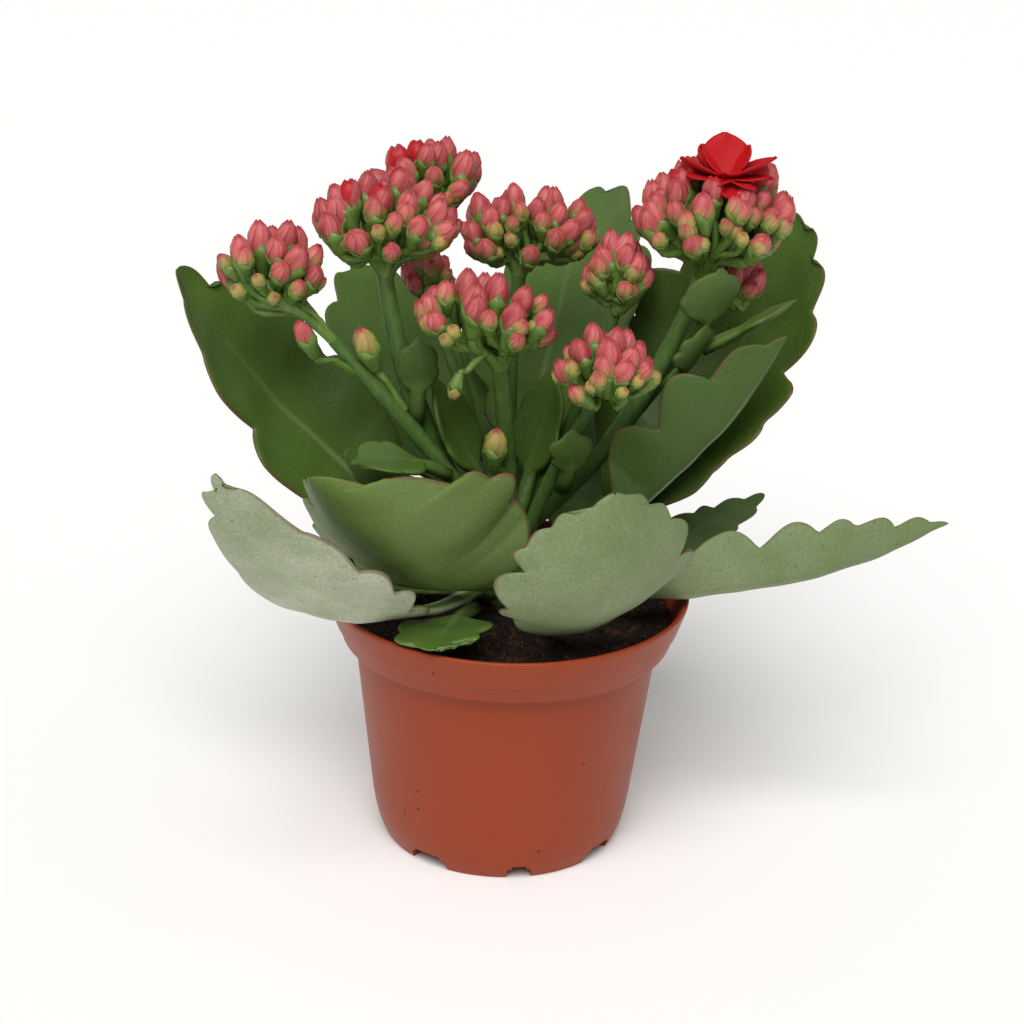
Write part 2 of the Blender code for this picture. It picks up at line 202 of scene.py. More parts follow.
def band_inside(z):
    """The inner radius of the rim band at that height."""
    share = (z - BAND_MIDDLE_Z) / (POT_HEIGHT - BAND_MIDDLE_Z)
    return BAND_MIDDLE_RADIUS + share * (MOUTH_RADIUS - BAND_MIDDLE_RADIUS) - LIP


def finished(obj, material=None):
    """The object with its modifiers applied, as one plain mesh at the origin."""
    graph = bpy.context.evaluated_depsgraph_get()
    mesh = bpy.data.meshes.new_from_object(obj.evaluated_get(graph))
    name = obj.name
    bpy.data.objects.remove(obj)
    mesh.name = name
    if material:
        mesh.materials.clear()
        mesh.materials.append(material)
    return add_object(name, mesh)


def turned(name, profile, turns):
    """A closed solid turned about Z from a profile of (radius, z)."""
    bm = bmesh.new()
    line = [bm.verts.new((radius, 0, z)) for radius, z in profile]
    for low, high in zip(line, line[1:]):
        bm.edges.new((low, high))
    obj = object_from(name, bm, smooth=False)
    screw = obj.modifiers.new("turn", "SCREW")
    screw.steps = screw.render_steps = turns
    screw.use_merge_vertices = True
    screw.merge_threshold = 0.00001
    return finished(obj)


def fit(piece, slot, *nodes):
    """The piece rides with the plant, and stands for those frame nodes; the slot is not used."""
    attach(piece, "root")
    if nodes:
        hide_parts(*nodes)


def pot_profile():
    floor_top = CHANNEL_Z + FLOOR
    corners = [
        (0, FLOOR, 0),
        (PAD_RADIUS - 1, FLOOR, 1),
        (PAD_RADIUS + 3, floor_top, 1),
        (FOOT_RADIUS - 1, floor_top, 2),
        (wall_inside(WALL_FOOT_Z + 3), WALL_FOOT_Z + 3, 2),
        (WALL_TOP_RADIUS - WALL, STEP_Z + 1.2, 0.8),
        (band_inside(INNER_STEP_Z), INNER_STEP_Z, 0.8),
        (band_inside(POT_HEIGHT - 1), POT_HEIGHT - 1, 0.4),
        (MOUTH_RADIUS - LIP + 0.5, POT_HEIGHT, 0.45),
        (MOUTH_RADIUS, POT_HEIGHT, 0.7),
        (MOUTH_RADIUS - 0.25, POT_HEIGHT - 1.5, 0.3),
        (LEDGE_RADIUS, LEDGE_Z, 0.25),
        (LEDGE_RADIUS - 0.5, LEDGE_Z - 0.45, 0.25),
        (BAND_FOOT_RADIUS, BAND_FOOT_Z, 0.5),
        (BAND_FOOT_RADIUS - 1.0, BAND_FOOT_Z - 0.7, 0.3),
        (WALL_TOP_RADIUS + 0.5, STEP_Z + 0.8, 0.5),
        (WALL_TOP_RADIUS - 0.1, STEP_Z - 1.2, 0.8),
        (WALL_FOOT_RADIUS, WALL_FOOT_Z, 4.5),
        (FOOT_RADIUS + 1.6, 3.6, 2),
        (FOOT_RADIUS, 0, 0.4),
        (FOOT_RADIUS - FOOT_RING, 0, 0.4),
        (FOOT_RADIUS - FOOT_RING, CHANNEL_Z, 0.6),
        (PAD_RADIUS + 2, CHANNEL_Z, 0.8),
        (PAD_RADIUS, 0, 0.4),
        (0, 0, 0),
    ]
    return rounded([c[:2] for c in corners], [c[2] for c in corners])


def notch_block(width):
    """A block across the foot ring, wider at the bench, with its upper corners rounded."""
    bm = bmesh.new()
    bmesh.ops.create_cube(bm, size=1)
    for vert in bm.verts:
        wide = width * NOTCH_FLARE if vert.co.z < 0 else width
        vert.co = Vector((vert.co.x * NOTCH_LENGTH, vert.co.y * wide, vert.co.z * 2 * NOTCH_HEIGHT))
    along = [e for e in bm.edges if abs(e.verts[0].co.x - e.verts[1].co.x) > 1]
    bmesh.ops.bevel(bm, geom=along, offset=NOTCH_ROUNDING, segments=4, affect="EDGES")
    return bm


def add_pot(material):
    pot = turned("pot_moulding", pot_profile(), POT_TURNS)
    cutters = []
    for index in range(NOTCHES):
        turn = math.radians(NOTCH_TURN - 90 + index * 360 / NOTCHES)
        out = Vector((math.cos(turn), math.sin(turn), 0))
        block = object_from(f"notch_{index}", notch_block(NOTCH_WIDTHS[index % 2]))
        block.location = out * (FOOT_RADIUS - FOOT_RING / 2) * MM
        block.rotation_euler = (0, 0, turn)
        bm = bmesh.new()
        ends = {"radius1": DRAIN_RADIUS, "radius2": DRAIN_RADIUS, "depth": DRAIN_DEPTH}
        bmesh.ops.create_cone(bm, cap_ends=True, segments=24, **ends)
        drill = object_from(f"drain_{index}", bm)
        drill.location = (out * DRAIN_RING + Vector((0, 0, CHANNEL_Z))) * MM
        cutters += [block, drill]
    for cutter in cutters:
        boolean = pot.modifiers.new(cutter.name, "BOOLEAN")
        boolean.operation = "DIFFERENCE"
        boolean.object = cutter
    pot = finished(pot, material)
    for cutter in cutters:
        bpy.data.objects.remove(cutter)
    pot.data.shade_smooth()
    pot.data.set_sharp_from_angle(angle=SHARP_ANGLE)
    fit(pot, "pot_plastic", "pot")


# The settings and the output of a node that mixes two colours.
COLOURS = {"data_type": "RGBA", "out": 2}


def link_shader(material, **links):
    """Links sockets to the material's shader by name, and gives the material back."""
    tree = material.node_tree
    for key, socket in links.items():
        tree.links.new(socket, tree.nodes["Principled BSDF"].inputs[key.replace("_", " ")])
    return material


def pot_material():
    """Polypropylene, injection moulded: terracotta brown and satin, with faint flow marks, a fine
    orange-peel surface, and a few specks of peat, most of them near the foot."""
    material, add = new_material("terracotta_polypropylene", IOR=1.49, Specular_IOR_Level=0.3)
    place = add("ShaderNodeTexCoord", out="Object")
    cloud = add("ShaderNodeTexNoise", {"Vector": place, "Scale": 45.0, "Detail": 3.0}, "Fac")
    body = add("ShaderNodeMix", {"Factor": cloud, 6: srgb("8B3513"), 7: srgb("933A17")}, **COLOURS)
    # Peat dust: sparse specks of 0.3 to 0.6 mm.
    height = add("ShaderNodeSeparateXYZ", {0: place}, "Z")
    cells = add("ShaderNodeTexVoronoi", {"Vector": place, "Scale": 260.0})
    dot = add("ShaderNodeMapRange", {0: cells, 1: 0.10, 2: 0.17, 3: 1.0, 4: 0.0})
    chance = add("ShaderNodeSeparateColor", {0: cells.node.outputs["Color"]})
    low = add("ShaderNodeMapRange", {0: height, 1: 0.002, 2: 0.04, 3: 0.80, 4: 0.972})
    kept = add("ShaderNodeMath", {0: chance, 1: low}, operation="GREATER_THAN")
    speck = add("ShaderNodeMath", {0: dot, 1: kept}, operation="MULTIPLY")
    body = add("ShaderNodeMix", {"Factor": speck, 6: body, 7: srgb("4E2216")}, **COLOURS)
    gloss = add("ShaderNodeMapRange", {0: cloud, 1: 0.3, 2: 0.7, 3: 0.36, 4: 0.47})
    # Orange peel, about 1 mm across and a few microns deep.
    peel = add("ShaderNodeTexNoise", {"Vector": place, "Scale": 900.0, "Detail": 2.0}, "Fac")
    bump = add("ShaderNodeBump", {"Height": peel, "Strength": 0.12, "Distance": 0.0002})
    return link_shader(material, Base_Color=body, Roughness=gloss, Normal=bump)


add_pot(pot_material())

# Potting soil. Dark peat with coarse crumbs, pale root fibres and bits of bark; it fills the pot to
# a little under the rim, and loose crumbs, chips of bark and root fibres lie on it.
SOIL_TOP_Z, SOIL_EDGE_Z = 70.5, 68.5
SOIL_RADIUS = band_inside(SOIL_EDGE_Z) - 0.5
SOIL_SIDES, SOIL_RINGS = 120, 44
SOIL_WAVES, SOIL_WAVE_HEIGHT = 0.16, 0.9
SOIL_BUMPS, SOIL_BUMP_HEIGHT = 0.9, 0.35
SOIL_GAP = 0.4
PATCH_STEPS, PATCH_SHAKE = 110, 0.3
FIBRE_LENGTH, FIBRE_RADIUS = 5, 0.12


def soil_height(x, y):
    share = min(1, math.hypot(x, y) / SOIL_RADIUS)
    rough = noise.fractal(Vector((x, y, 0)) * SOIL_WAVES, 0.9, 2.1, 5) * SOIL_WAVE_HEIGHT
    fine = noise.noise(Vector((x, y, 4)) * SOIL_BUMPS) * SOIL_BUMP_HEIGHT
    return SOIL_TOP_Z + (SOIL_EDGE_Z - SOIL_TOP_Z) * share**2 + rough + fine


def add_soil_mound(material):
    """The soil as one closed body: a rough top, and sides that follow the pot's inner wall."""
    bm = bmesh.new()
    angles = [2 * math.pi * side / SOIL_SIDES for side in range(SOIL_SIDES)]
    grid = [[bm.verts.new((0, 0, soil_height(0, 0)))]]
    for ring in range(1, SOIL_RINGS + 1):
        radius = SOIL_RADIUS * ring / SOIL_RINGS
        row = []
        for angle in angles:
            x, y = radius * math.cos(angle), radius * math.sin(angle)
            row.append(bm.verts.new((x, y, soil_height(x, y))))
        grid.append(row)
    floor_top = CHANNEL_Z + FLOOR
    below = [
        (band_inside(INNER_STEP_Z) - 0.6, INNER_STEP_Z - 0.5),
        (WALL_TOP_RADIUS - WALL - 0.8, STEP_Z + 1),
        (wall_inside(WALL_FOOT_Z + 3) - 0.8, WALL_FOOT_Z + 3),
        (FOOT_RADIUS - 3.5, floor_top + SOIL_GAP),
        (PAD_RADIUS + 3, floor_top + SOIL_GAP),
        (PAD_RADIUS - 2, FLOOR + SOIL_GAP),
    ]
    for radius, z in below:
        grid.append([bm.verts.new((radius * math.cos(a), radius * math.sin(a), z)) for a in angles])
    for side in range(SOIL_SIDES):
        following = (side + 1) % SOIL_SIDES
        bm.faces.new((grid[0][0], grid[1][side], grid[1][following]))
        for low, high in zip(grid[1:], grid[2:]):
            bm.faces.new((low[side], high[side], high[following], low[following]))
    bm.faces.new(list(reversed(grid[-1])))
    bmesh.ops.recalc_face_normals(bm, faces=bm.faces)
    return object_from("soil_surface", bm, material)


def peat_material(name, dark, light, rust):
    """Milled sphagnum peat: matt, near-black brown when moist, with rust-brown bark and fibre."""
    material, add = new_material(name, Roughness=0.92, Specular_IOR_Level=0.25)
    place = add("ShaderNodeTexCoord", out="Object")
    grain = add("ShaderNodeTexNoise", {"Vector": place, "Scale": 620.0, "Detail": 5.0}, "Fac")
    clump = add("ShaderNodeTexNoise", {"Vector": place, "Scale": 210.0, "Detail": 2.0}, "Fac")
    tone = add("ShaderNodeMapRange", {0: grain, 1: 0.35, 2: 0.68, 3: 0.0, 4: 1.0})
    brown = add("ShaderNodeMix", {"Factor": tone, 6: srgb(dark), 7: srgb(light)}, **COLOURS)
    bark = add("ShaderNodeMapRange", {0: clump, 1: 0.60, 2: 0.68, 3: 0.0, 4: 0.8})
    brown = add("ShaderNodeMix", {"Factor": bark, 6: brown, 7: srgb(rust)}, **COLOURS)
    bump = add("ShaderNodeBump", {"Height": grain, "Strength": 0.8, "Distance": 0.0008})
    return link_shader(material, Base_Color=brown, Normal=bump)


def new_tree(name, **inputs):
    """An empty Geometry Nodes tree with a geometry input and output, and the inputs that are named
    for each kind of socket: the tree, the function that adds a node to it, and its inputs."""
    tree = bpy.data.node_groups.new(name, "GeometryNodeTree")
    tree.interface.new_socket("Geometry", in_out="INPUT", socket_type="NodeSocketGeometry")
    tree.interface.new_socket("Geometry", in_out="OUTPUT", socket_type="NodeSocketGeometry")
    for kind, labels in inputs.items():
        for label in labels:
            tree.interface.new_socket(label, in_out="INPUT", socket_type="NodeSocket" + kind)
    return tree, functools.partial(add_node, tree), tree.nodes.new("NodeGroupInput").outputs


def close_tree(add, geometry, material):
    """Ends the tree in Realize Instances, smooth shading and Set Material."""
    real = add("GeometryNodeRealizeInstances", {0: geometry})
    smooth = add("GeometryNodeSetShadeSmooth", {0: real})
    add("NodeGroupOutput", {0: add("GeometryNodeSetMaterial", {0: smooth, "Material": material})})


def grow(obj, tree, material, **values):
    """Runs the tree on the object with its named inputs set, and returns the plain mesh."""
    modifier = obj.modifiers.new(tree.name, "NODES")
    modifier.node_group = tree
    for item in tree.interface.items_tree:
        key = item.name.replace(" ", "_")
        if item.in_out == "INPUT" and key in values:
            modifier[item.identifier] = values[key]
    return finished(obj, material)


def lump(name, size, seed):
    """A small irregular lump, as one crumb of peat or bark."""
    bm = bmesh.new()
    bmesh.ops.create_icosphere(bm, subdivisions=1, radius=1)
    rng = random.Random(seed)
    for vert in bm.verts:
        vert.co *= rng.uniform(0.65, 1.15)
        vert.co *= Vector(size)
    return object_from(name, bm)


def fibre(name):
    """A thin curled root fibre."""
    bm = bmesh.new()
    rings = []
    for step in range(6):
        t = step / 5 - 0.5
        middle = Vector((FIBRE_LENGTH * t, 1.6 * math.cos(4 * t), 0.5 * math.sin(7 * t)))
        rings.append([])
        for side in range(4):
            angle = math.pi / 2 * side
            around = Vector((0, math.cos(angle), math.sin(angle))) * FIBRE_RADIUS
            rings[-1].append(bm.verts.new(middle + around))
    for low, high in zip(rings, rings[1:]):
        for side in range(4):
            bm.faces.new((low[side], high[side], high[side - 1], low[side - 1]))
    bm.faces.new(rings[0])
    bm.faces.new(rings[-1])
    bmesh.ops.recalc_face_normals(bm, faces=bm.faces)
    return object_from(name, bm)


def scatter_tree():
    """Scatters copies of a shape over a surface, turned and sized at random by a fixed seed."""
    kinds = {"Object": ["Shape"], "Material": ["Material"], "Int": ["Count", "Seed"]}
    tree, add, given = new_tree("scatter_on_soil", **kinds, Float=["Smallest", "Largest"])
    seed = {"Seed": given["Seed"]}
    points = add("GeometryNodeMeshToPoints", {"Mesh": given["Geometry"]}, mode="FACES")
    size_of = "GeometryNodeAttributeDomainSize"
    total = add(size_of, {0: points}, "Point Count", component="POINTCLOUD")
    share = add("ShaderNodeMath", {0: given["Count"], 1: total}, operation="DIVIDE")
    chance = add("FunctionNodeRandomValue", {2: 0.0, 3: 1.0, **seed}, 1, data_type="FLOAT")
    chosen = add("ShaderNodeMath", {0: chance, 1: share}, operation="LESS_THAN")
    circle = {0: (0, 0, 0), 1: (6.283, 6.283, 6.283), **seed}
    turn = add("FunctionNodeRandomValue", circle, data_type="FLOAT_VECTOR")
    ends = {2: given["Smallest"], 3: given["Largest"], **seed}
    size = add("FunctionNodeRandomValue", ends, 1, data_type="FLOAT")
    shape = add("GeometryNodeObjectInfo", {"Object": given["Shape"]}, "Geometry")
    places = {"Points": points, "Selection": chosen, "Rotation": turn, "Scale": size}
    placed = add("GeometryNodeInstanceOnPoints", {"Instance": shape, **places})
    close_tree(add, placed, given["Material"])
    return tree


def soil_patch():
    """The soil's upper face alone, in small triangles, as the ground for the crumbs."""
    bm = bmesh.new()
    bmesh.ops.create_grid(bm, x_segments=PATCH_STEPS, y_segments=PATCH_STEPS, size=SOIL_RADIUS)
    outside = [v for v in bm.verts if v.co.xy.length > SOIL_RADIUS - 1.4]
    bmesh.ops.delete(bm, geom=outside, context="VERTS")
    rng = random.Random(3)
    for vert in bm.verts:
        x = vert.co.x + rng.uniform(-PATCH_SHAKE, PATCH_SHAKE)
        y = vert.co.y + rng.uniform(-PATCH_SHAKE, PATCH_SHAKE)
        vert.co = Vector((x, y, soil_height(x, y) + 0.1))
    return object_from("soil_patch", bm)


def add_soil():
    peat = peat_material("moist_peat", "120B08", "2A1A12", "4A2A18")
    bark = peat_material("bark_crumbs", "2A170E", "5A3520", "7A4A2C")
    roots = peat_material("root_fibres", "5E4630", "8A7050", "6E5236")
    fit(add_soil_mound(peat), "peat", "potting_soil")
    ground = soil_patch()
    scatter = scatter_tree()
    crumb = lump("crumb_shape", (0.75, 0.6, 0.5), 5)
    chip = lump("chip_shape", (1.3, 0.6, 0.3), 9)
    for name, shape, material, count, seed, largest in (
        ("peat_crumbs", crumb, peat, 2600, 1, 1.9),
        ("bark_chips", chip, bark, 240, 2, 1.2),
        ("peat_fibres", fibre("fibre_shape"), roots, 260, 4, 1.2),
    ):
        values = {"Count": count, "Seed": seed, "Smallest": 0.5, "Largest": largest}
        carrier = add_object(name, ground.data)
        fit(grow(carrier, scatter, material, Shape=shape, Material=material, **values), "peat")
        bpy.data.objects.remove(shape)
    bpy.data.objects.remove(ground)


add_soil()

# Stems. Fleshy green stems, each along one smooth bend from the crown to its flower head, and a
# short stout main stem that widens into the crown.
STEM_SUNK = 3.5
STEM_INTO_HEAD = 1.5
Stem = collections.namedtuple("Stem", "name start bend end radii")
CROWN = Stem("main_stem", (0, 0, 70), (0, 0, 84), (0, 0, 97.5), (4.8, 5.6, 8.4))
STEMS = [
    Stem("stem_left_tall", (-5.9, -0.6, 97), (-27, -3, 112), (-37, 0, 167), (2.0, 3.2, 2.2)),
    Stem("stem_left", (-5.0, -5.2, 97), (-20, -10, 119), (-50, -11, 151), (1.8, 2.4, 1.7)),
    Stem("stem_front", (0, -6.2, 97), (-1, -6, 118), (-4, -15, 146), (1.9, 2.5, 2.4)),
    Stem("stem_front_right", (5.0, -5.0, 97), (12, -11, 118), (22, -15, 138), (1.8, 2.2, 1.7)),
    Stem("stem_right_tall", (7.0, 0.6, 97), (34, -1, 122), (50, 2, 168), (1.9, 2.6, 2.2)),
    Stem("stem_right_inner", (2.4, 1.0, 97), (19, 5, 128), (27, 0, 159), (1.6, 1.8, 1.6)),
    Stem("stem_right_rear", (5.6, 5.0, 97), (34, 6, 122), (56, 10, 160), (1.6, 1.8, 1.5)),
    Stem("stem_back", (1.2, 6.0, 97), (-4, 20, 130), (0, 15, 164), (1.8, 2.2, 2.0)),
    Stem("stem_back_left", (-3.2, 5.0, 97), (-18, 27, 130), (-27, 34, 175), (1.8, 2.0, 1.8)),
    Stem("stem_inner_left", (-2.4, 0.4, 97), (-12, 13, 125), (-25, 20, 152), (1.4, 1.5, 1.3)),
]


def stem_tree(material):
    """A round stem along a bend, thickest in the middle, with slightly swollen joints."""
    radii = ["Low Radius", "Middle Radius", "High Radius"]
    tree, add, given = new_tree("stem_along_bend", Vector=["Start", "Bend", "End"], Float=radii)
    ends = {"Start": given["Start"], "Middle": given["Bend"], "End": given["End"]}
    line = add("GeometryNodeCurveQuadraticBezier", {"Resolution": 48, **ends})
    along = add("GeometryNodeSplineParameter", out="Factor")
    low, middle, high = (given[name] for name in radii)
    rise = add("ShaderNodeMapRange", {0: along, 1: 0.0, 2: 0.5, 3: low, 4: middle})
    change = add("ShaderNodeMath", {0: high, 1: middle}, operation="SUBTRACT")
    taper = add("ShaderNodeMapRange", {0: along, 1: 0.5, 2: 1.0, 3: 0.0, 4: change})
    radius = add("ShaderNodeMath", {0: rise, 1: taper}, operation="ADD")
    wave = add("ShaderNodeMath", {0: along, 1: 19.0}, operation="MULTIPLY")
    swell = add("ShaderNodeMath", {0: wave}, operation="SINE")
    joints = add("ShaderNodeMapRange", {0: swell, 1: 0.75, 2: 1.0, 3: 1.0, 4: 1.08})
    full = add("ShaderNodeMath", {0: radius, 1: joints}, operation="MULTIPLY")
    ring = add("GeometryNodeCurvePrimitiveCircle", {"Resolution": 20, "Radius": 1.0})
    tube = {"Curve": line, "Profile Curve": ring, "Scale": full, "Fill Caps": True}
    close_tree(add, add("GeometryNodeCurveToMesh", tube), material)
    return tree


def stem_material(name, dark, light, streaks):
    """Living stem: smooth waxy green skin, a little paler and yellower in bands, with fine
    lengthwise streaks."""
    material, add = new_material(name, IOR=1.42, Roughness=0.42)
    place = add("ShaderNodeTexCoord", out="Object")
    long = add("ShaderNodeMapping", {"Vector": place, "Scale": (1.0, 1.0, 0.22)})
    streak = add("ShaderNodeTexNoise", {"Vector": long, "Scale": 700.0, "Detail": 3.0}, "Fac")
    cloud = add("ShaderNodeTexNoise", {"Vector": place, "Scale": 110.0, "Detail": 2.0}, "Fac")
    skin = add("ShaderNodeMix", {"Factor": cloud, 6: srgb(dark), 7: srgb(light)}, **COLOURS)
    share = add("ShaderNodeMapRange", {0: streak, 1: 0.4, 2: 0.75, 3: 0.0, 4: 0.45})
    skin = add("ShaderNodeMix", {"Factor": share, 6: skin, 7: srgb(streaks)}, **COLOURS)
    bump = add("ShaderNodeBump", {"Height": streak, "Strength": 0.15, "Distance": 0.0003})
    return link_shader(material, Base_Color=skin, Normal=bump)


stem_skin = stem_material("green_stem_skin", "3C5826", "4C6C2F", "66823C")


def add_stems():
    """Each stem starts inside the crown and ends a little inside its flower head."""
    tree = stem_tree(stem_skin)
    for stem in [CROWN, *STEMS]:
        start, bend, end = Vector(stem.start), Vector(stem.bend), Vector(stem.end)
        if stem is not CROWN:
            start -= (bend - start).normalized() * STEM_SUNK
            end += Vector((0, 0, STEM_INTO_HEAD))
        low, middle, high = (radius * MM for radius in stem.radii)
        values = {"Start": start * MM, "Bend": bend * MM, "End": end * MM}
        values |= {"Low_Radius": low, "Middle_Radius": middle, "High_Radius": high}
        carrier = object_from(stem.name + "_skin", bmesh.new())
        fit(grow(carrier, tree, stem_skin, **values), "stem_skin", stem.name)


add_stems()

# Leaves. Thick fleshy blades on short stalks, folded along the midrib, with rounded lobes and a
# thin brown-red margin; dark green above, and below green under a pale bloom of wax.

# A leaf sets out from its base towards its heading, turns by its swing and rises from rise_start
# to rise_end, in degrees; roll turns its blade and fold raises its two halves. Bloom, pale, blush
# and rib are the strengths of its wax, its lighter green, its red rim and its midrib line, which
# also paints a highlight along the folded keel.
Leaf = collections.namedtuple(
    "Leaf",
    "name base heading rise_start rise_end length half_width roll fold swing lobes"
    " bloom pale blush rib",
)
LEAVES = [
    Leaf(
        "leaf_upright_left", (-6.5, -1, 82), 164, 24, 63, 125, 26, -33, 18, 27, 6,
        0, 0.2, 0.6, 0.4,
    ),
    Leaf("leaf_upright_right", (6.5, 4, 86), 15, 23, 77, 128, 34, 19, 26, 23, 6, 0, 0.2, 0.7, 0.35),
    Leaf("leaf_lower_left", (-9, -10, 79.5), 236, -5, 68, 113, 19, 36, 8, -34, 6, 1, 0.6, 0.8, 1),
    Leaf("leaf_front_left", (-1, -9, 82), 237, 8, 60, 84, 37, 33, 25, -42, 6, 0.06, 0.85, 1, 0.2),
    Leaf(
        "leaf_front_centre", (5, -12, 76.5), -58, -16, 113, 81, 32, -2, 17, -4, 6,
        0.34, 0.55, 0.9, 0.25,
    ),
    Leaf("leaf_front_right", (11, -10, 84), 0, 38, 63, 99, 29, -28, 40, -11, 5, 0, 0.15, 0.6, 1),
    Leaf(
        "leaf_lower_right", (9, -6, 80.7), -13, -3.5, 24, 120, 19, -46, 38, 30, 6,
        0.28, 0.6, 0.35, 0.3,
    ),
    Leaf("leaf_side_right", (8.5, 3, 79), 22, -2, 14, 86, 9, 14, 10, 27, 5, 0.05, 0.3, 0.3, 0.3),
    # The back leaves inside the plant have no wax and almost no pale green: painted shade, which
    # makes them dark.
    Leaf("leaf_back_tall", (1, 8, 87), 72, 65, 28, 120, 30, -30, 10, 6, 5, 0, 0, 0.4, 0.3),
    Leaf("leaf_back_left", (-5, 9, 88), 128, 36, 44, 100, 23, 6, 10, -3, 5, 0, 0, 0.3, 0.2),
    Leaf("leaf_back_low", (-1, 8, 78), 96, 4, 38, 98, 27, 0, 22, 10, 6, 0.05, 0.1, 0.4, 0.3),
    Leaf("leaf_back_right", (6, 8, 79), 52, 10, 40, 90, 24, 10, 20, 8, 5, 0, 0.05, 0.4, 0.3),
    Leaf(
        "leaf_on_soil_front", (-11, -17, 75.6), 250, 8, 4, 36, 14.5, 6, 5, 12, 4,
        0.1, 0.6, 0, 0.2,
    ),
    Leaf("leaf_on_soil_left", (-8, -2, 75), 188, 4, 2, 35, 8, 10, 5, 0, 4, 0.1, 0.4, 0.1, 0.2),
    Leaf("leaf_side_left", (-8, 3, 76), 168, 4, 10, 50, 8, 10, 5, -5, 4, 0.1, 0.4, 0.1, 0.2),
    # The inner and middle leaves have no wax and little pale green: painted shade, which makes them
    # dark.
    Leaf("leaf_inner_left", (-9, -5, 91), 186, 22, 52, 48, 13, -20, 15, 0, 4, 0, 0.1, 0.15, 0.15),
    Leaf("leaf_inner_front", (-3, -12, 103), 215, 35, 60, 17, 7, 0, 10, 0, 2, 0, 0.1, 0.1, 0.1),
    Leaf("leaf_mid_left", (-6, -5, 107), 160, 50, 70, 37, 12, 0, 10, 0, 2, 0, 0.1, 0.1, 0.1),
    Leaf("leaf_mid_right", (3.2, -3.6, 105), 55, 64, 75, 38, 12, -20, 10, 0, 2, 0, 0.1, 0.1, 0.1),
    Leaf("bract_left_stem", (-21, -14, 117), 212, 30, -10, 26, 14, 0, 5, -20, 2, 0, 0.2, 0.1, 0.1),
    Leaf("bract_left_upper", (-27, -8, 133), -80, 82, 92, 21, 6.5, 0, 10, 0, 2, 0, 0.2, 0.1, 0.05),
    Leaf("bract_front_right", (15, -15, 116), -70, 65, 85, 17, 7, 0, 5, 0, 2, 0, 0.2, 0.1, 0.05),
    Leaf("bract_right_upper", (50, -6, 157), -60, 60, 78, 22, 10, 0, 10, 0, 2, 0, 0.3, 0.1, 0.05),
    Leaf("bract_right_lower", (44, -9, 145), -35, 50, 75, 19, 9, 0, 10, 0, 2, 0, 0.2, 0.1, 0.05),
    Leaf("bract_right_narrow", (55, -5, 154), -5, 30, 38, 25, 4, 0, 10, 0, 2, 0, 0.3, 0.1, 0.1),
]
# The stalk's share of the midrib, the length that is sunk into the stem, and the leaf length below
# which fewer rows and columns are enough.
STALK_SHARE = 0.2
STALK_SUNK = 4.5
SMALL_LENGTH = 60
STALK_HALF_WIDTH = 2.4
STALK_THICKNESS = 3.6
BLADE_THICKNESS = 2.1
OVAL_POWER = 0.72
# Where notches made at random start and how deep they are; how far a lobe leans towards the tip;
# how much deeper than its list a notch is cut; and how much thinner the blade is at its rim.
LOBE_START = 0.18
LOBE_DEPTHS = (0.08, 0.15)
LOBE_SKEW = 1.6
NOTCH_SCALE = 1.45
RIM_TAPER = 0.4
RIM_ANGLES = (30, 60, 90)
# How round the fold along the midrib is, how far the blade sags and waves as shares of its half
# width, and the low swellings of its skin.
KEEL = 0.14
SAG, WAVE = 0.04, 0.03
SWELLING, SWELLING_SCALE = 0.9, 0.055

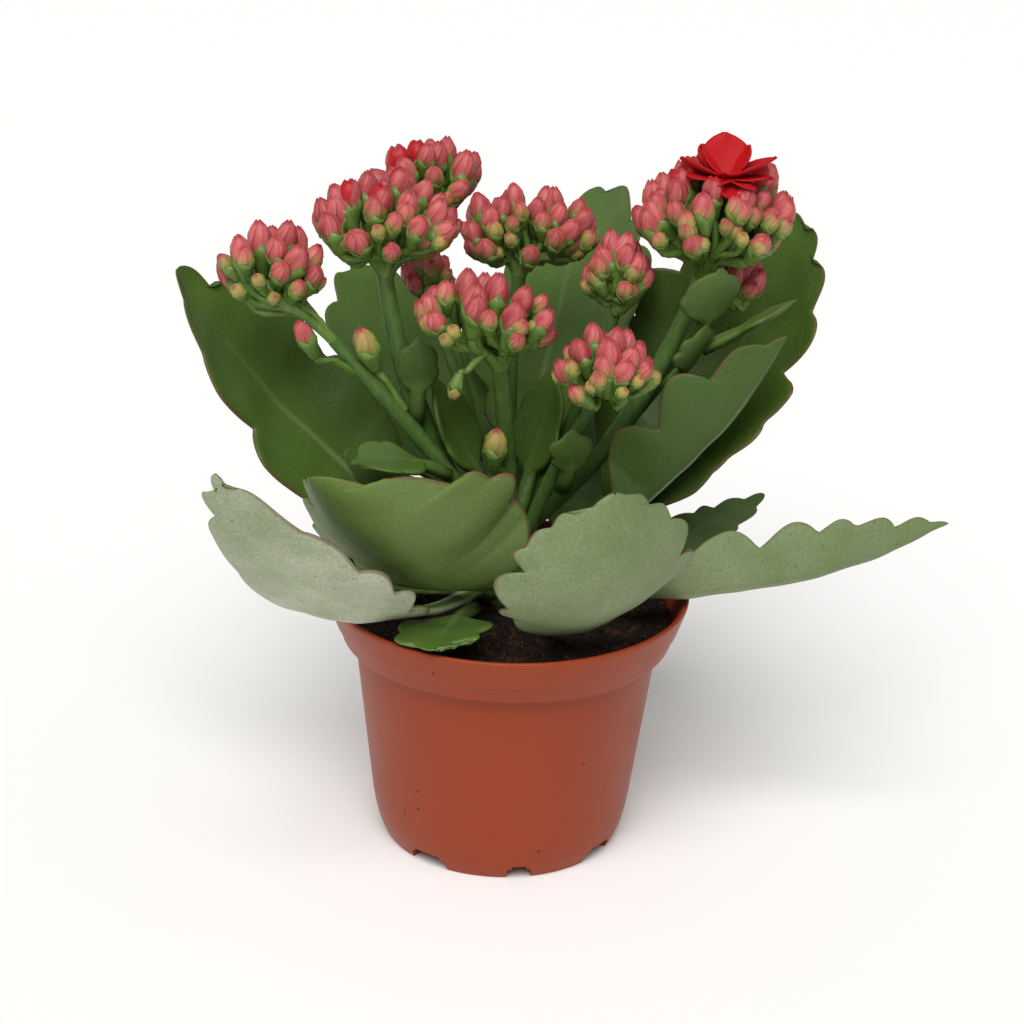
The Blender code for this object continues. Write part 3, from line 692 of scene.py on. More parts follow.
# How a blade differs from a plain oval: where it is broadest (a higher power is nearer the tip),
# how pointed its tip is, its two widths, and the notches of its right and left margins. A notch is
# a share of the way along the margin, and a depth as a share of the half width.
Margin = collections.namedtuple("Margin", "broadest point widths right left")
PLAIN = Margin(0.9, 0.66, (1, 1), None, None)
MARGINS = {
    "leaf_upright_left": Margin(
        0.9, 0.5, (1, 1),
        [(0.3, 0.06), (0.5, 0.12), (0.7, 0.12), (0.87, 0.16)],
        [(0.3, 0.05), (0.53, 0.24), (0.76, 0.05), (0.9, 0.06)],
    ),
    "leaf_upright_right": Margin(
        0.95, 0.5, (1, 1.15),
        [(0.33, 0.05), (0.44, 0.06), (0.565, 0.2), (0.72, 0.1), (0.85, 0.1), (0.94, 0.05)],
        [(0.3, 0.08), (0.5, 0.12), (0.68, 0.12), (0.86, 0.1)],
    ),
    "leaf_lower_left": Margin(
        0.95, 0.5, (1, 1),
        [(0.3, 0.05), (0.6, 0.06), (0.83, 0.16), (0.92, 0.2)],
        [(0.12, 0.18), (0.26, 0.14), (0.46, 0.12), (0.7, 0.06), (0.95, 0.14)],
    ),
    "leaf_front_left": Margin(
        0.75, 0.55, (1, 1.15),
        [(0.35, 0.06), (0.6, 0.1), (0.75, 0.1), (0.9, 0.1)],
        [(0.38, 0.1), (0.53, 0.05), (0.64, 0.07), (0.84, 0.08)],
    ),
    "leaf_front_centre": Margin(
        1.15, 0.42, (1, 1),
        [(0.29, 0.05), (0.38, 0.07), (0.6, 0.13), (0.69, 0.03), (0.79, 0.04), (0.88, 0.09)],
        [(0.4, 0.06), (0.58, 0.14), (0.74, 0.06), (0.84, 0.07), (0.93, 0.04)],
    ),
    "leaf_front_right": Margin(
        0.85, 0.7, (0.85, 0.9),
        [(0.2, 0.09), (0.48, 0.2), (0.73, 0.12), (0.93, 0.04)],
        [(0.3, 0.1), (0.6, 0.15), (0.8, 0.1)],
    ),
    "leaf_lower_right": Margin(
        0.85, 0.72, (1, 1),
        [(0.2, 0.08), (0.42, 0.22), (0.6, 0.13), (0.71, 0.08), (0.83, 0.1), (0.94, 0.04)],
        [(0.4, 0.04), (0.7, 0.06), (0.88, 0.06)],
    ),
    "leaf_back_tall": Margin(0.9, 0.6, (1.25, 1), None, None),
    "leaf_back_left": Margin(0.9, 0.6, (1.2, 1.2), None, None),
    "leaf_back_low": Margin(0.9, 0.6, (1.15, 1.15), None, None),
    "leaf_back_right": Margin(0.9, 0.6, (1.1, 1.2), None, None),
    "leaf_on_soil_front": Margin(
        1.1, 0.45, (1, 1), [(0.5, 0.12), (0.8, 0.14)], [(0.55, 0.2), (0.75, 0.22), (0.9, 0.16)]
    ),
    "leaf_inner_left": Margin(
        1.1, 0.5, (1, 1), [(0.45, 0.2), (0.75, 0.2)], [(0.4, 0.2), (0.7, 0.22), (0.9, 0.12)]
    ),
}


def midrib(leaf, shares):
    """Points, side vectors and face normals along the midrib; a share below 0 is in the stem."""
    steps = np.linspace(0, 1, 241)
    rise = np.radians(leaf.rise_start + (leaf.rise_end - leaf.rise_start) * steps)
    heading = np.radians(leaf.heading + leaf.swing * steps)
    ahead = np.stack(
        [np.cos(heading) * np.cos(rise), np.sin(heading) * np.cos(rise), np.sin(rise)], axis=1
    )
    side = np.stack([-np.sin(heading), np.cos(heading), 0 * heading], axis=1)
    up = np.cross(ahead, side)
    roll = np.radians(leaf.roll * np.minimum(1, steps / 0.35))[:, None]
    turned_side = side * np.cos(roll) + up * np.sin(roll)
    turned_up = up * np.cos(roll) - side * np.sin(roll)
    middles = (ahead[1:] + ahead[:-1]) / 2 * leaf.length / (len(steps) - 1)
    points = np.vstack([np.zeros(3), np.cumsum(middles, axis=0)]) + leaf.base

    def at(values):
        return np.stack([np.interp(shares, steps, values[:, axis]) for axis in range(3)], axis=1)

    inward = np.minimum(shares, 0)[:, None] * leaf.length * ahead[0]
    return at(points) + inward, at(turned_side), at(turned_up)


def smooth_oval(leaf, margin, shares):
    """Half the width in mm at each share of the midrib, without notches, for a width of 1."""
    along = np.clip((shares - STALK_SHARE) / (1 - STALK_SHARE), 0, 1)
    power = OVAL_POWER + (margin.point - OVAL_POWER) * along
    oval = np.sin(np.pi * along**margin.broadest) ** power
    stalk = STALK_HALF_WIDTH * np.clip((1 - along) * 6, 0.05, 1)
    return np.maximum(stalk, leaf.half_width * oval)


def even_rows(leaf, margin, rows):
    """Shares along the midrib, evenly spaced along the margin."""
    fine = np.linspace(0, 1, 1200)
    reach = smooth_oval(leaf, margin, fine)
    steps = np.hypot(np.diff(fine) * leaf.length, np.diff(reach))
    travelled = np.concatenate([[0], np.cumsum(steps)])
    return np.interp(np.linspace(0, travelled[-1], rows), travelled, fine)


def random_notches(leaf, rng):
    """Notches for a margin that has no list of its own, unevenly spaced and deep."""
    spacing = (1 - LOBE_START) / leaf.lobes
    places = [LOBE_START + spacing * (k + rng.uniform(0.25, 0.75)) for k in range(leaf.lobes)]
    return [(place, rng.uniform(*LOBE_DEPTHS)) for place in places]


def notched(leaf, shares, whole, notches):
    """The margin's places along the midrib and its widths, with a rounded lobe between notches."""
    places = shares * leaf.length
    steps = np.hypot(np.diff(places), np.diff(whole))
    arc = np.concatenate([[0], np.cumsum(steps)])
    foot = np.interp(STALK_SHARE, shares, arc)
    arc = np.clip((arc - foot) / (arc[-1] - foot), 0, 1)
    peak = 0.5 ** (1 / LOBE_SKEW)
    cuts = [(0.0, 0.0), *notches]
    depth = np.zeros(len(shares))
    for index, (start, first) in enumerate(cuts):
        last_lobe = index == len(cuts) - 1
        end, second = (1.0, 0.0) if last_lobe else cuts[index + 1]
        inside = (arc >= start) & (arc <= end)
        phase = (arc - start) / (end - start) * (peak if last_lobe else 1)
        phase = np.clip(phase, 0, 1)
        crest = np.abs(np.sin(np.pi * phase**LOBE_SKEW)) ** 0.75
        cut = np.where(phase < peak, first, second) * (1 - crest)
        depth = np.where(inside, cut, depth)
    depth = depth * leaf.half_width * NOTCH_SCALE
    ahead_x, ahead_y = np.gradient(places), np.gradient(whole)
    size = np.maximum(np.hypot(ahead_x, ahead_y), 1e-9)
    return (places + ahead_y / size * depth) / leaf.length, whole - ahead_x / size * depth


def blade_surface(leaf, seed, shares, along, blend):
    """The middle surface of the blade, as a grid of points, with what each point is like: its share
    of the thickness, and its distances from the margin and from the midrib in mm."""
    columns = 7 if leaf.length < SMALL_LENGTH else 11
    margin = MARGINS.get(leaf.name, PLAIN)
    thick = STALK_THICKNESS + (BLADE_THICKNESS - STALK_THICKNESS) * blend
    fold = np.radians(leaf.fold) * np.clip(4 * along, 0.3, 1)
    rng = random.Random(seed)
    phase = rng.uniform(0, 6.28)
    surface, rim_share, edge, rib = [], [], [], []
    for sign, scale, notches in zip((-1, 1), margin.widths, (margin.right, margin.left)):
        whole = smooth_oval(leaf, margin, shares) * scale
        cuts = random_notches(leaf, rng) if notches is None else notches
        ends, width = notched(leaf, shares, whole, cuts)
        width = np.maximum(width, 0.1)
        thick = np.minimum(thick, 2 * width)
        round_by = np.minimum(thick / 2, width * 0.9)
        lines = [j / columns * (1 - round_by / width) for j in range(columns + 1)]
        lines += [1 - round_by / width * (1 - math.sin(math.radians(a))) for a in RIM_ANGLES]
        covers = [1.0] * (columns + 1) + [math.cos(math.radians(a)) for a in RIM_ANGLES]
        rows = list(zip(lines, covers))
        for line, cover in rows[::-1] if sign < 0 else rows[1:]:
            points, side, up = midrib(leaf, shares + (ends - shares) * line**2)
            across = line * width / whole
            lift = (np.sqrt(across**2 + KEEL**2) - KEEL) / (math.sqrt(1 + KEEL**2) - KEEL)
            sag = -SAG * np.sin(np.pi * across) * blend
            wave = WAVE * across**3 * np.sin(7.5 * along + phase + 2 * sign) * blend
            out = side * (sign * line * width * np.cos(fold))[:, None]
            high = up * (whole * (lift * np.sin(fold) + sag + wave))[:, None]
            surface.append(points + out + high)
            rim_share.append(cover * (1 - RIM_TAPER * line**4))
            edge.append((1 - line) * width)
            rib.append(line * width)
    return thick, *(np.stack(values, axis=1) for values in (surface, rim_share, edge, rib))


def mark(mesh, name, values):
    """Stores a number, or three, for each of the mesh's points."""
    values = np.asarray(values, np.float32)
    kind, field = ("FLOAT", "value") if values.ndim == 1 else ("FLOAT_VECTOR", "vector")
    mesh.attributes.new(name, kind, "POINT").data.foreach_set(field, values.ravel())


def closed_faces(rows, count):
    """The faces of a thick sheet of rows by count points: all of the upper points come first, then
    the lower ones without the two margins, which both sides share."""
    def low(i, j):
        return rows * count + i * (count - 2) + j - 1 if 0 < j < count - 1 else i * count + j

    faces = []
    for i in range(rows - 1):
        for j in range(count - 1):
            corner, after = i * count + j, (i + 1) * count + j
            faces.append((corner, after, after + 1, corner + 1))
            faces.append((low(i, j), low(i, j + 1), low(i + 1, j + 1), low(i + 1, j)))
    for i in (0, rows - 1):
        top = [i * count + j for j in range(count)]
        faces.append(top + [low(i, j) for j in range(count - 2, 0, -1)])
    return faces


def add_leaf(leaf, seed):
    """The closed blade: an upper and a lower skin that meet in a rounded rim."""
    rows = 34 if leaf.length < SMALL_LENGTH else 26 + 14 * leaf.lobes
    spaced = even_rows(leaf, MARGINS.get(leaf.name, PLAIN), rows)
    shares = np.concatenate([[-STALK_SUNK / leaf.length], spaced])
    along = np.clip((shares - STALK_SHARE) / (1 - STALK_SHARE), 0, 1)
    blend = np.clip((shares - 0.08) / 0.3, 0, 1)
    thick, surface, rim_share, edge, rib = blade_surface(leaf, seed, shares, along, blend)

    shift = Vector((seed, 0, 0))
    swelling = [
        [noise.fractal(Vector(spot) * SWELLING_SCALE + shift, 1.0, 2.0, 2) for spot in row]
        for row in surface
    ]
    normal = np.cross(np.gradient(surface, axis=0), np.gradient(surface, axis=1))
    normal /= np.maximum(np.linalg.norm(normal, axis=2, keepdims=True), 1e-9)
    surface += normal * (np.array(swelling) * SWELLING * blend[:, None])[..., None]
    half = (thick / 2)[:, None] * rim_share * np.clip(1.02 - along**6, 0.3, 1)[:, None]
    upper = surface + normal * half[..., None]
    lower = surface - normal * half[..., None]

    bm = bmesh.new()
    vertices = [bm.verts.new(v) for v in (*upper.reshape(-1, 3), *lower[:, 1:-1].reshape(-1, 3))]
    for face in closed_faces(*surface.shape[:2]):
        bm.faces.new([vertices[index] for index in face])
    bmesh.ops.recalc_face_normals(bm, faces=bm.faces)
    piece = object_from(leaf.name + "_blade", bm, leaf_skin)

    # The upper face is 1, the rim half, and the lower face 0.
    upward = np.where(rim_share > 0.01, 1.0, 0.5)
    length = np.repeat(along[:, None], surface.shape[1], axis=1)
    grids = {
        "upper": (upward, 0 * upward),
        "edge_mm": (edge, edge),
        "rib_mm": (rib, rib),
        "along": (length, length),
    }
    for name, (above, below) in grids.items():
        mark(piece.data, name, np.concatenate([above.ravel(), below[:, 1:-1].ravel()]))
    for name in ("bloom", "pale", "blush", "rib"):
        mark(piece.data, name, [getattr(leaf, name)] * len(piece.data.vertices))
    fit(piece, "leaf_skin", leaf.name)


def leaf_material():
    """Living succulent leaf. A smooth cuticle, satin above; below a matt pale bloom of wax that
    hides the green, with dark pores; a brown-red rim line, and a paler midrib line that also paints
    a highlight along the keel."""
    material, add = new_material("succulent_leaf_skin", IOR=1.42, Specular_IOR_Level=0.4)
    place = add("ShaderNodeTexCoord", out="Object")
    marks = {}
    for name in ("upper", "edge_mm", "rib_mm", "along", "bloom", "pale", "blush", "rib"):
        marks[name] = add("ShaderNodeAttribute", out="Fac", attribute_name=name)
    # Uneven growth, in patches of 10 to 20 mm, and a grain of about 0.8 mm.
    patch = add("ShaderNodeTexNoise", {"Vector": place, "Scale": 70.0, "Detail": 4.0}, "Fac")
    grain = add("ShaderNodeTexNoise", {"Vector": place, "Scale": 1250.0, "Detail": 4.0}, "Fac")
    # Pores and dust: dark dots of 0.3 mm on the lower face.
    cells = add("ShaderNodeTexVoronoi", {"Vector": place, "Scale": 420.0})
    chance = add("ShaderNodeSeparateColor", {0: cells.node.outputs["Color"]})
    rare = add("ShaderNodeMath", {0: chance, 1: 0.88}, operation="GREATER_THAN")
    # Each range: its source, from where to where, and what it becomes. The wax is worn in patches
    # and thins out from the foot to the tip; the midrib fades towards the tip; the rim line is
    # about 0.6 mm wide, and stronger in some places than in others.
    ranges = {
        "worn": (patch, 0.25, 0.75, 0.55, 1.1),
        "foot": (marks["along"], 0.0, 1.0, 1.3, 0.65),
        "dot": (cells, 0.10, 0.18, 0.65, 0.0),
        "rib": (marks["rib_mm"], 0.2, 1.7, 0.75, 0.0),
        "fade": (marks["along"], 0.1, 0.85, 1.0, 0.0),
        "line": (marks["edge_mm"], 0.3, 1.05, 0.9, 0.0),
        "strong": (patch, 0.35, 0.6, 0.5, 1.0),
        "blade": (marks["along"], 0.0, 0.06, 0.0, 1.0),
        "fleck": (grain, 0.3, 0.7, 0.88, 1.08),
        "gloss": (marks["upper"], 0.0, 1.0, 0.55, 0.36),
    }
    part = {}
    for name, row in ranges.items():
        curve = "SMOOTHSTEP" if name in ("rib", "line") else "LINEAR"
        part[name] = add("ShaderNodeMapRange", dict(enumerate(row)), interpolation_type=curve)
    products = {
        "cover": (part["worn"], part["foot"], marks["bloom"]),
        "speck": (part["dot"], rare),
        "vein": (part["rib"], marks["rib"], part["fade"]),
        "rim": (part["line"], part["strong"], marks["blush"], part["blade"]),
    }
    for name, (product, *others) in products.items():
        for other in others:
            product = add("ShaderNodeMath", {0: product, 1: other}, operation="MULTIPLY")
        product.node.use_clamp = name == "cover"
        part[name] = product
    above = add("ShaderNodeMix", {0: patch, 6: srgb("415C24"), 7: srgb("56732B")}, **COLOURS)
    greens = {0: marks["pale"], 6: srgb("36501B"), 7: srgb("647C36")}
    green = add("ShaderNodeMix", greens, **COLOURS)
    wax = add("ShaderNodeMix", {0: grain, 6: srgb("9EA68A"), 7: srgb("BEC3AC")}, **COLOURS)
    skin = green
    for share, colour in (
        (part["cover"], wax),
        (part["speck"], srgb("46532C")),
        (marks["upper"], above),
        # The midrib line: a paler green midrib, and partly a painted highlight along the folded
        # keel.
        (part["vein"], srgb("AABB8C")),
        (part["rim"], srgb("643A2C")),
    ):
        skin = add("ShaderNodeMix", {0: share, 6: skin, 7: colour}, **COLOURS)
    skin = add("ShaderNodeHueSaturation", {"Color": skin, "Value": part["fleck"]})
    bump = add("ShaderNodeBump", {"Height": grain, "Strength": 0.4, "Distance": 0.0004})
    return link_shader(material, Base_Color=skin, Roughness=part["gloss"], Normal=bump)


leaf_skin = leaf_material()
for index, leaf in enumerate(LEAVES):
    add_leaf(leaf, index + 1)

# Flower heads. Each is a dense dome of closed double flowers on branching green stalks. A bud is a
# twisted cone of fleshy overlapping petals that stands in a cup of four pointed sepals.
Head = collections.namedtuple("Head", "name middle radii base buds opening seed")
HEADS = [
    Head("flower_head_left", (-66, -8, 172), (16, 13, 13), (-51, -11, 153.5), 24, 0, 2),
    Head("flower_head_left_tall", (-37, 0, 184), (20, 16, 14), (-37, 0, 169.5), 40, 3, 5),
    Head("flower_head_back_left", (-27, 37, 188), (16, 13, 11), (-27, 34, 177.5), 26, 2, 8),
    Head("flower_head_back", (3, 18, 179), (21, 14, 12), (0, 15, 166.5), 42, 0, 11),
    Head("flower_head_inner", (-26, 21, 163), (8, 7, 8), (-25, 20, 154), 11, 0, 14),
    Head("flower_head_front", (-9, -19, 165), (20, 14, 11), (-4, -15, 148.5), 36, 0, 17),
    Head("flower_head_right_inner", (27, -2, 173), (10, 9, 11), (27, 0, 161), 20, 0, 20),
    Head("flower_head_front_right", (24, -26, 153), (15, 12, 12), (22, -15, 140.5), 26, 0, 23),
    Head("flower_head_right", (53, 2, 190), (22, 18, 15), (50, 2, 170.5), 88, 5, 26),
    Head("flower_head_right_rear", (61, 14, 168), (9, 7, 7), (56, 10, 162), 14, 0, 29),
]
# No bud points into the open flower, which stands here.
FLOWER_MIDDLE, FLOWER_CLEARANCE = Vector((54.8, -3.0, 199.6)), 7.0
# A head's buds follow a spiral, from its top to a little below its widest.
GOLDEN_ANGLE = 2.39996
DOME_DEPTH = 1.42
BUDS_PER_BRANCH = 6
FORK_SHARE = 0.32
BRANCH_SUNK = 5
STALK_BOW = 0.4
BUD_SIDES, PETALS = 12, 4
TWIST = 1.25
GROOVE, RIDGE = 0.93, 1.03
RIPE_LENGTH, RIPE_RADIUS = 10.2, 3.25
YOUNG_LENGTH, YOUNG_RADIUS = 4.4, 1.9
# Height and radius of a bud's rings, as shares of its length and radius.
BUD_RINGS = [(0.0, 0.35), (0.1, 0.66), (0.28, 0.95), (0.48, 1.0), (0.68, 0.87), (0.85, 0.58)]
OPENING_RINGS = [(0.0, 0.35), (0.1, 0.66), (0.28, 0.95), (0.48, 1.05), (0.68, 1.02), (0.85, 0.8)]
CUP_SIDES = 8
# Heights of the calyx at the gaps and at the sepals, and its radius: up the outside from its foot
# to its rim, then down the inside.
CUP_ROWS = [
    (-0.5, -0.5, 0.34),
    (-0.34, -0.34, 0.62),
    (-0.05, -0.05, 0.8),
    (0.12, 0.12, 0.97),
    (0.2, 0.5, 1.08),
    (0.2, 0.44, 0.9),
]


def polar(radius, angle, z):
    """A point at that distance and direction from the Z axis."""
    return Vector((radius * math.cos(angle), radius * math.sin(angle), z))


def bud_shape(name, rings, tip):
    """A bud of length 1 and radius 1, with a groove where each petal meets the next; tip is the
    radius that the petals' points have at the top."""
    bm = bmesh.new()
    chart = bm.loops.layers.uv.new("UVMap")
    lines = []
    for z, radius in rings:
        grooves = (GROOVE, RIDGE, RIDGE) if z > 0.2 else (1, 1, 1)
        line = []
        for side in range(BUD_SIDES):
            angle = 2 * math.pi * side / BUD_SIDES + TWIST * z
            line.append(bm.verts.new(polar(radius * grooves[side % 3], angle, z)))
        lines.append(line)
    points = []
    for side in range(BUD_SIDES):
        z, radius = (1.0, tip) if side % 3 else (0.93, tip * 0.7)
        points.append(bm.verts.new(polar(radius, 2 * math.pi * side / BUD_SIDES + TWIST, z)))
    lines.append(points)
    heights = [z for z, _ in rings] + [1.0]
    for row, (low, high) in enumerate(zip(lines, lines[1:])):
        for side in range(BUD_SIDES):
            after = (side + 1) % BUD_SIDES
            face = bm.faces.new((low[side], low[after], high[after], high[side]))
            corners = [(side, row), (side + 1, row), (side + 1, row + 1), (side, row + 1)]
            for loop, (u, v) in zip(face.loops, corners):
                loop[chart].uv = (u / BUD_SIDES, heights[v])
    for line, z, high, order in ((points, 0.9, 1.05, 1), (lines[0], -0.02, 0.0, -1)):
        centre = bm.verts.new((0, 0, z))
        for side in range(BUD_SIDES):
            ends = (line[side], line[(side + 1) % BUD_SIDES], centre)
            for loop in bm.faces.new(ends[::order]).loops:
                loop[chart].uv = ((side + 0.5) / BUD_SIDES, high)
    return object_from(name, bm, smooth=False, scale=1)


def cup_shape(name):
    """The calyx: a closed thin cup whose rim rises to four pointed sepals."""
    bm = bmesh.new()
    rows = []
    for z_low, z_high, radius in CUP_ROWS:
        row = []
        for side in range(CUP_SIDES):
            angle = 2 * math.pi * side / CUP_SIDES
            row.append(bm.verts.new(polar(radius, angle, z_low if side % 2 else z_high)))
        rows.append(row)
    for low, high in zip(rows, rows[1:]):
        for side in range(CUP_SIDES):
            after = (side + 1) % CUP_SIDES
            bm.faces.new((low[side], low[after], high[after], high[side]))
    bm.faces.new(rows[0][::-1])
    bm.faces.new(rows[-1])
    bmesh.ops.recalc_face_normals(bm, faces=bm.faces)
    return object_from(name, bm, smooth=False, scale=1)


Bud = collections.namedtuple("Bud", "foot axis length radius age tone turn opening")


def bud_at(tip, axis, age, rng):
    """A bud whose point is at tip. Age 0 is small, round and green, and age 1 is ripe."""
    length = YOUNG_LENGTH + (RIPE_LENGTH - YOUNG_LENGTH) * age
    radius = YOUNG_RADIUS + (RIPE_RADIUS - YOUNG_RADIUS) * min(1, age * 1.15)
    size = rng.uniform(0.84, 1.1)
    foot = tip - axis * length * size
    tone, turn = rng.random(), rng.uniform(0, 2 * math.pi)
    return Bud(foot, axis, length * size, radius * size, age, tone, turn, 0.0)


def head_buds(head):
    """The buds of one head, spread over its dome."""
    rng = random.Random(head.seed)
    buds = []
    for index in range(head.buds):
        level = 1 - DOME_DEPTH * (index + 0.5) / head.buds
        angle = index * GOLDEN_ANGLE + rng.uniform(-0.4, 0.4)
        ball = polar(math.sqrt(max(0, 1 - level**2)), angle, level)
        place = Vector([ball[axis] * head.radii[axis] for axis in range(3)])
        slope = Vector([ball[axis] / head.radii[axis] for axis in range(3)]).normalized()
        drift = Vector((rng.uniform(-1, 1), rng.uniform(-1, 1), rng.uniform(-0.3, 0.6)))
        axis = (slope * 0.75 + Vector((0, 0, 0.8)) + drift * 0.2).normalized()
        # Buds ripen from the top down, and first on a head whose flowers are opening.
        ripe = 0.5 + 0.58 * level + 0.2 * ball.y + rng.uniform(-0.36, 0.36)
        ripe += 0.04 * head.opening
        age = min(1, max(0, ripe))
        tip = Vector(head.middle) + place * rng.uniform(0.84, 1.08)
        if (tip - FLOWER_MIDDLE).length < FLOWER_CLEARANCE:
            continue
        buds.append(bud_at(tip, axis, age, rng))
    ripest = sorted(range(len(buds)), key=lambda i: -buds[i].age)
    for index in ripest[: 2 * head.opening : 2]:
        buds[index] = buds[index]._replace(opening=1.0)
    return buds


def bud_points(name, buds):
    """A mesh of loose points, one at each bud's foot, that carries what the bud is like."""
    mesh = bpy.data.meshes.new(name)
    mesh.from_pydata([bud.foot * MM for bud in buds], [], [])
    for key in ("age", "tone", "turn", "opening", "axis"):
        mark(mesh, key, [getattr(bud, key) for bud in buds])
    mark(mesh, "size", [(bud.radius * MM, bud.radius * MM, bud.length * MM) for bud in buds])
    return add_object(name, mesh)


def placed_on_points(add, points, shape, **more):
    """Nodes that stand a shape on each point, along its axis, with its size and turn."""
    found = {}
    for key, kind in (("axis", "FLOAT_VECTOR"), ("size", "FLOAT_VECTOR"), ("turn", "FLOAT")):
        found[key] = add("GeometryNodeInputNamedAttribute", {"Name": key}, data_type=kind)
    spin = add("FunctionNodeAxisAngleToRotation", {"Axis": (0, 0, 1), "Angle": found["turn"]})
    stand = add("FunctionNodeAlignRotationToVector", {"Vector": found["axis"]}, axis="Z")
    turns = {"Rotation": stand, "Rotate By": spin}
    both = add("FunctionNodeRotateRotation", turns, rotation_space="LOCAL")
    inputs = {"Points": points, "Instance": shape, "Rotation": both, "Scale": found["size"]}
    return add("GeometryNodeInstanceOnPoints", inputs | more)


def buds_tree(material):
    """Stands closed buds on the points, and half-open ones where a flower is opening."""
    tree, add, given = new_tree("buds_on_points", Object=["Closed Bud", "Opening Bud"])
    opening = add("GeometryNodeInputNamedAttribute", {"Name": "opening"}, data_type="FLOAT")
    groups = []
    for label, test in (("Closed Bud", "LESS_THAN"), ("Opening Bud", "GREATER_THAN")):
        chosen = add("ShaderNodeMath", {0: opening, 1: 0.5}, operation=test)
        shape = add("GeometryNodeObjectInfo", {"Object": given[label]}, "Geometry")
        groups.append(placed_on_points(add, given["Geometry"], shape, Selection=chosen))
    close_tree(add, add("GeometryNodeJoinGeometry", {0: groups}), material)
    return tree


def stalks_tree(material):
    """Round stalks along the edges of a skeleton, with a calyx on each bud's foot."""
    tree, add, given = new_tree("stalks_and_cups", Object=["Bud Points", "Cup"])
    line = add("GeometryNodeMeshToCurve", {0: given["Geometry"]})
    thick = add("GeometryNodeInputNamedAttribute", {"Name": "thick"}, data_type="FLOAT")
    ring = add("GeometryNodeCurvePrimitiveCircle", {"Resolution": 8, "Radius": 1.0})
    tube = {"Curve": line, "Profile Curve": ring, "Scale": thick, "Fill Caps": True}
    tubes = add("GeometryNodeCurveToMesh", tube)
    points = add("GeometryNodeObjectInfo", {"Object": given["Bud Points"]}, "Geometry")
    cup = add("GeometryNodeObjectInfo", {"Object": given["Cup"]}, "Geometry")
    cups = placed_on_points(add, points, cup)
    close_tree(add, add("GeometryNodeJoinGeometry", {0: [tubes, cups]}), material)
    return tree


def arc(start, lean, end, axis, steps=7):
    """Points from start, leaving along lean, to end, arriving along axis."""
    reach = (end - start).length
    first, last = start + lean * reach * STALK_BOW, end - axis * reach * STALK_BOW
    points = []
    for step in range(steps):
        t = step / (steps - 1)
        left = (1 - t) ** 3 * start + 3 * t * (1 - t) ** 2 * first
        points.append(left + 3 * t**2 * (1 - t) * last + t**3 * end)
    return points


def stalk_skeleton(name, base, lean_base, buds, thick):
    """Chains of points for the stalks: branches fan out from the stem's end, and split again
    into one stalk for each bud."""
    groups = max(1, round(len(buds) / BUDS_PER_BRANCH))
    ordered = sorted(buds, key=lambda b: math.atan2(b.foot.y - base.y, b.foot.x - base.x))
    chains = []
    for group in range(groups):
        share = ordered[group * len(buds) // groups : (group + 1) * len(buds) // groups]
        middle = sum((bud.foot for bud in share), Vector()) / len(share)
        fork = base.lerp(middle, FORK_SHARE)
        lean = (middle - base).normalized()
        root = base - lean_base * BRANCH_SUNK
        chains.append((arc(root, lean_base, fork, lean, 6), thick, thick * 0.7))
        for bud in share:
            foot = bud.foot - bud.axis * bud.length * 0.45
            chains.append((arc(fork, lean, foot, bud.axis), thick * 0.55, 0.4 * bud.radius))
    vertices, edges, radii = [], [], []
    for points, wide, narrow in chains:
        first = len(vertices)
        for step, point in enumerate(points):
            vertices.append(point * MM)
            radii.append((wide + (narrow - wide) * step / (len(points) - 1)) * MM)
            if step:
                edges.append((first + step - 1, first + step))
    mesh = bpy.data.meshes.new(name)
    mesh.from_pydata(vertices, edges, [])
    mark(mesh, "thick", radii)
    return add_object(name, mesh)


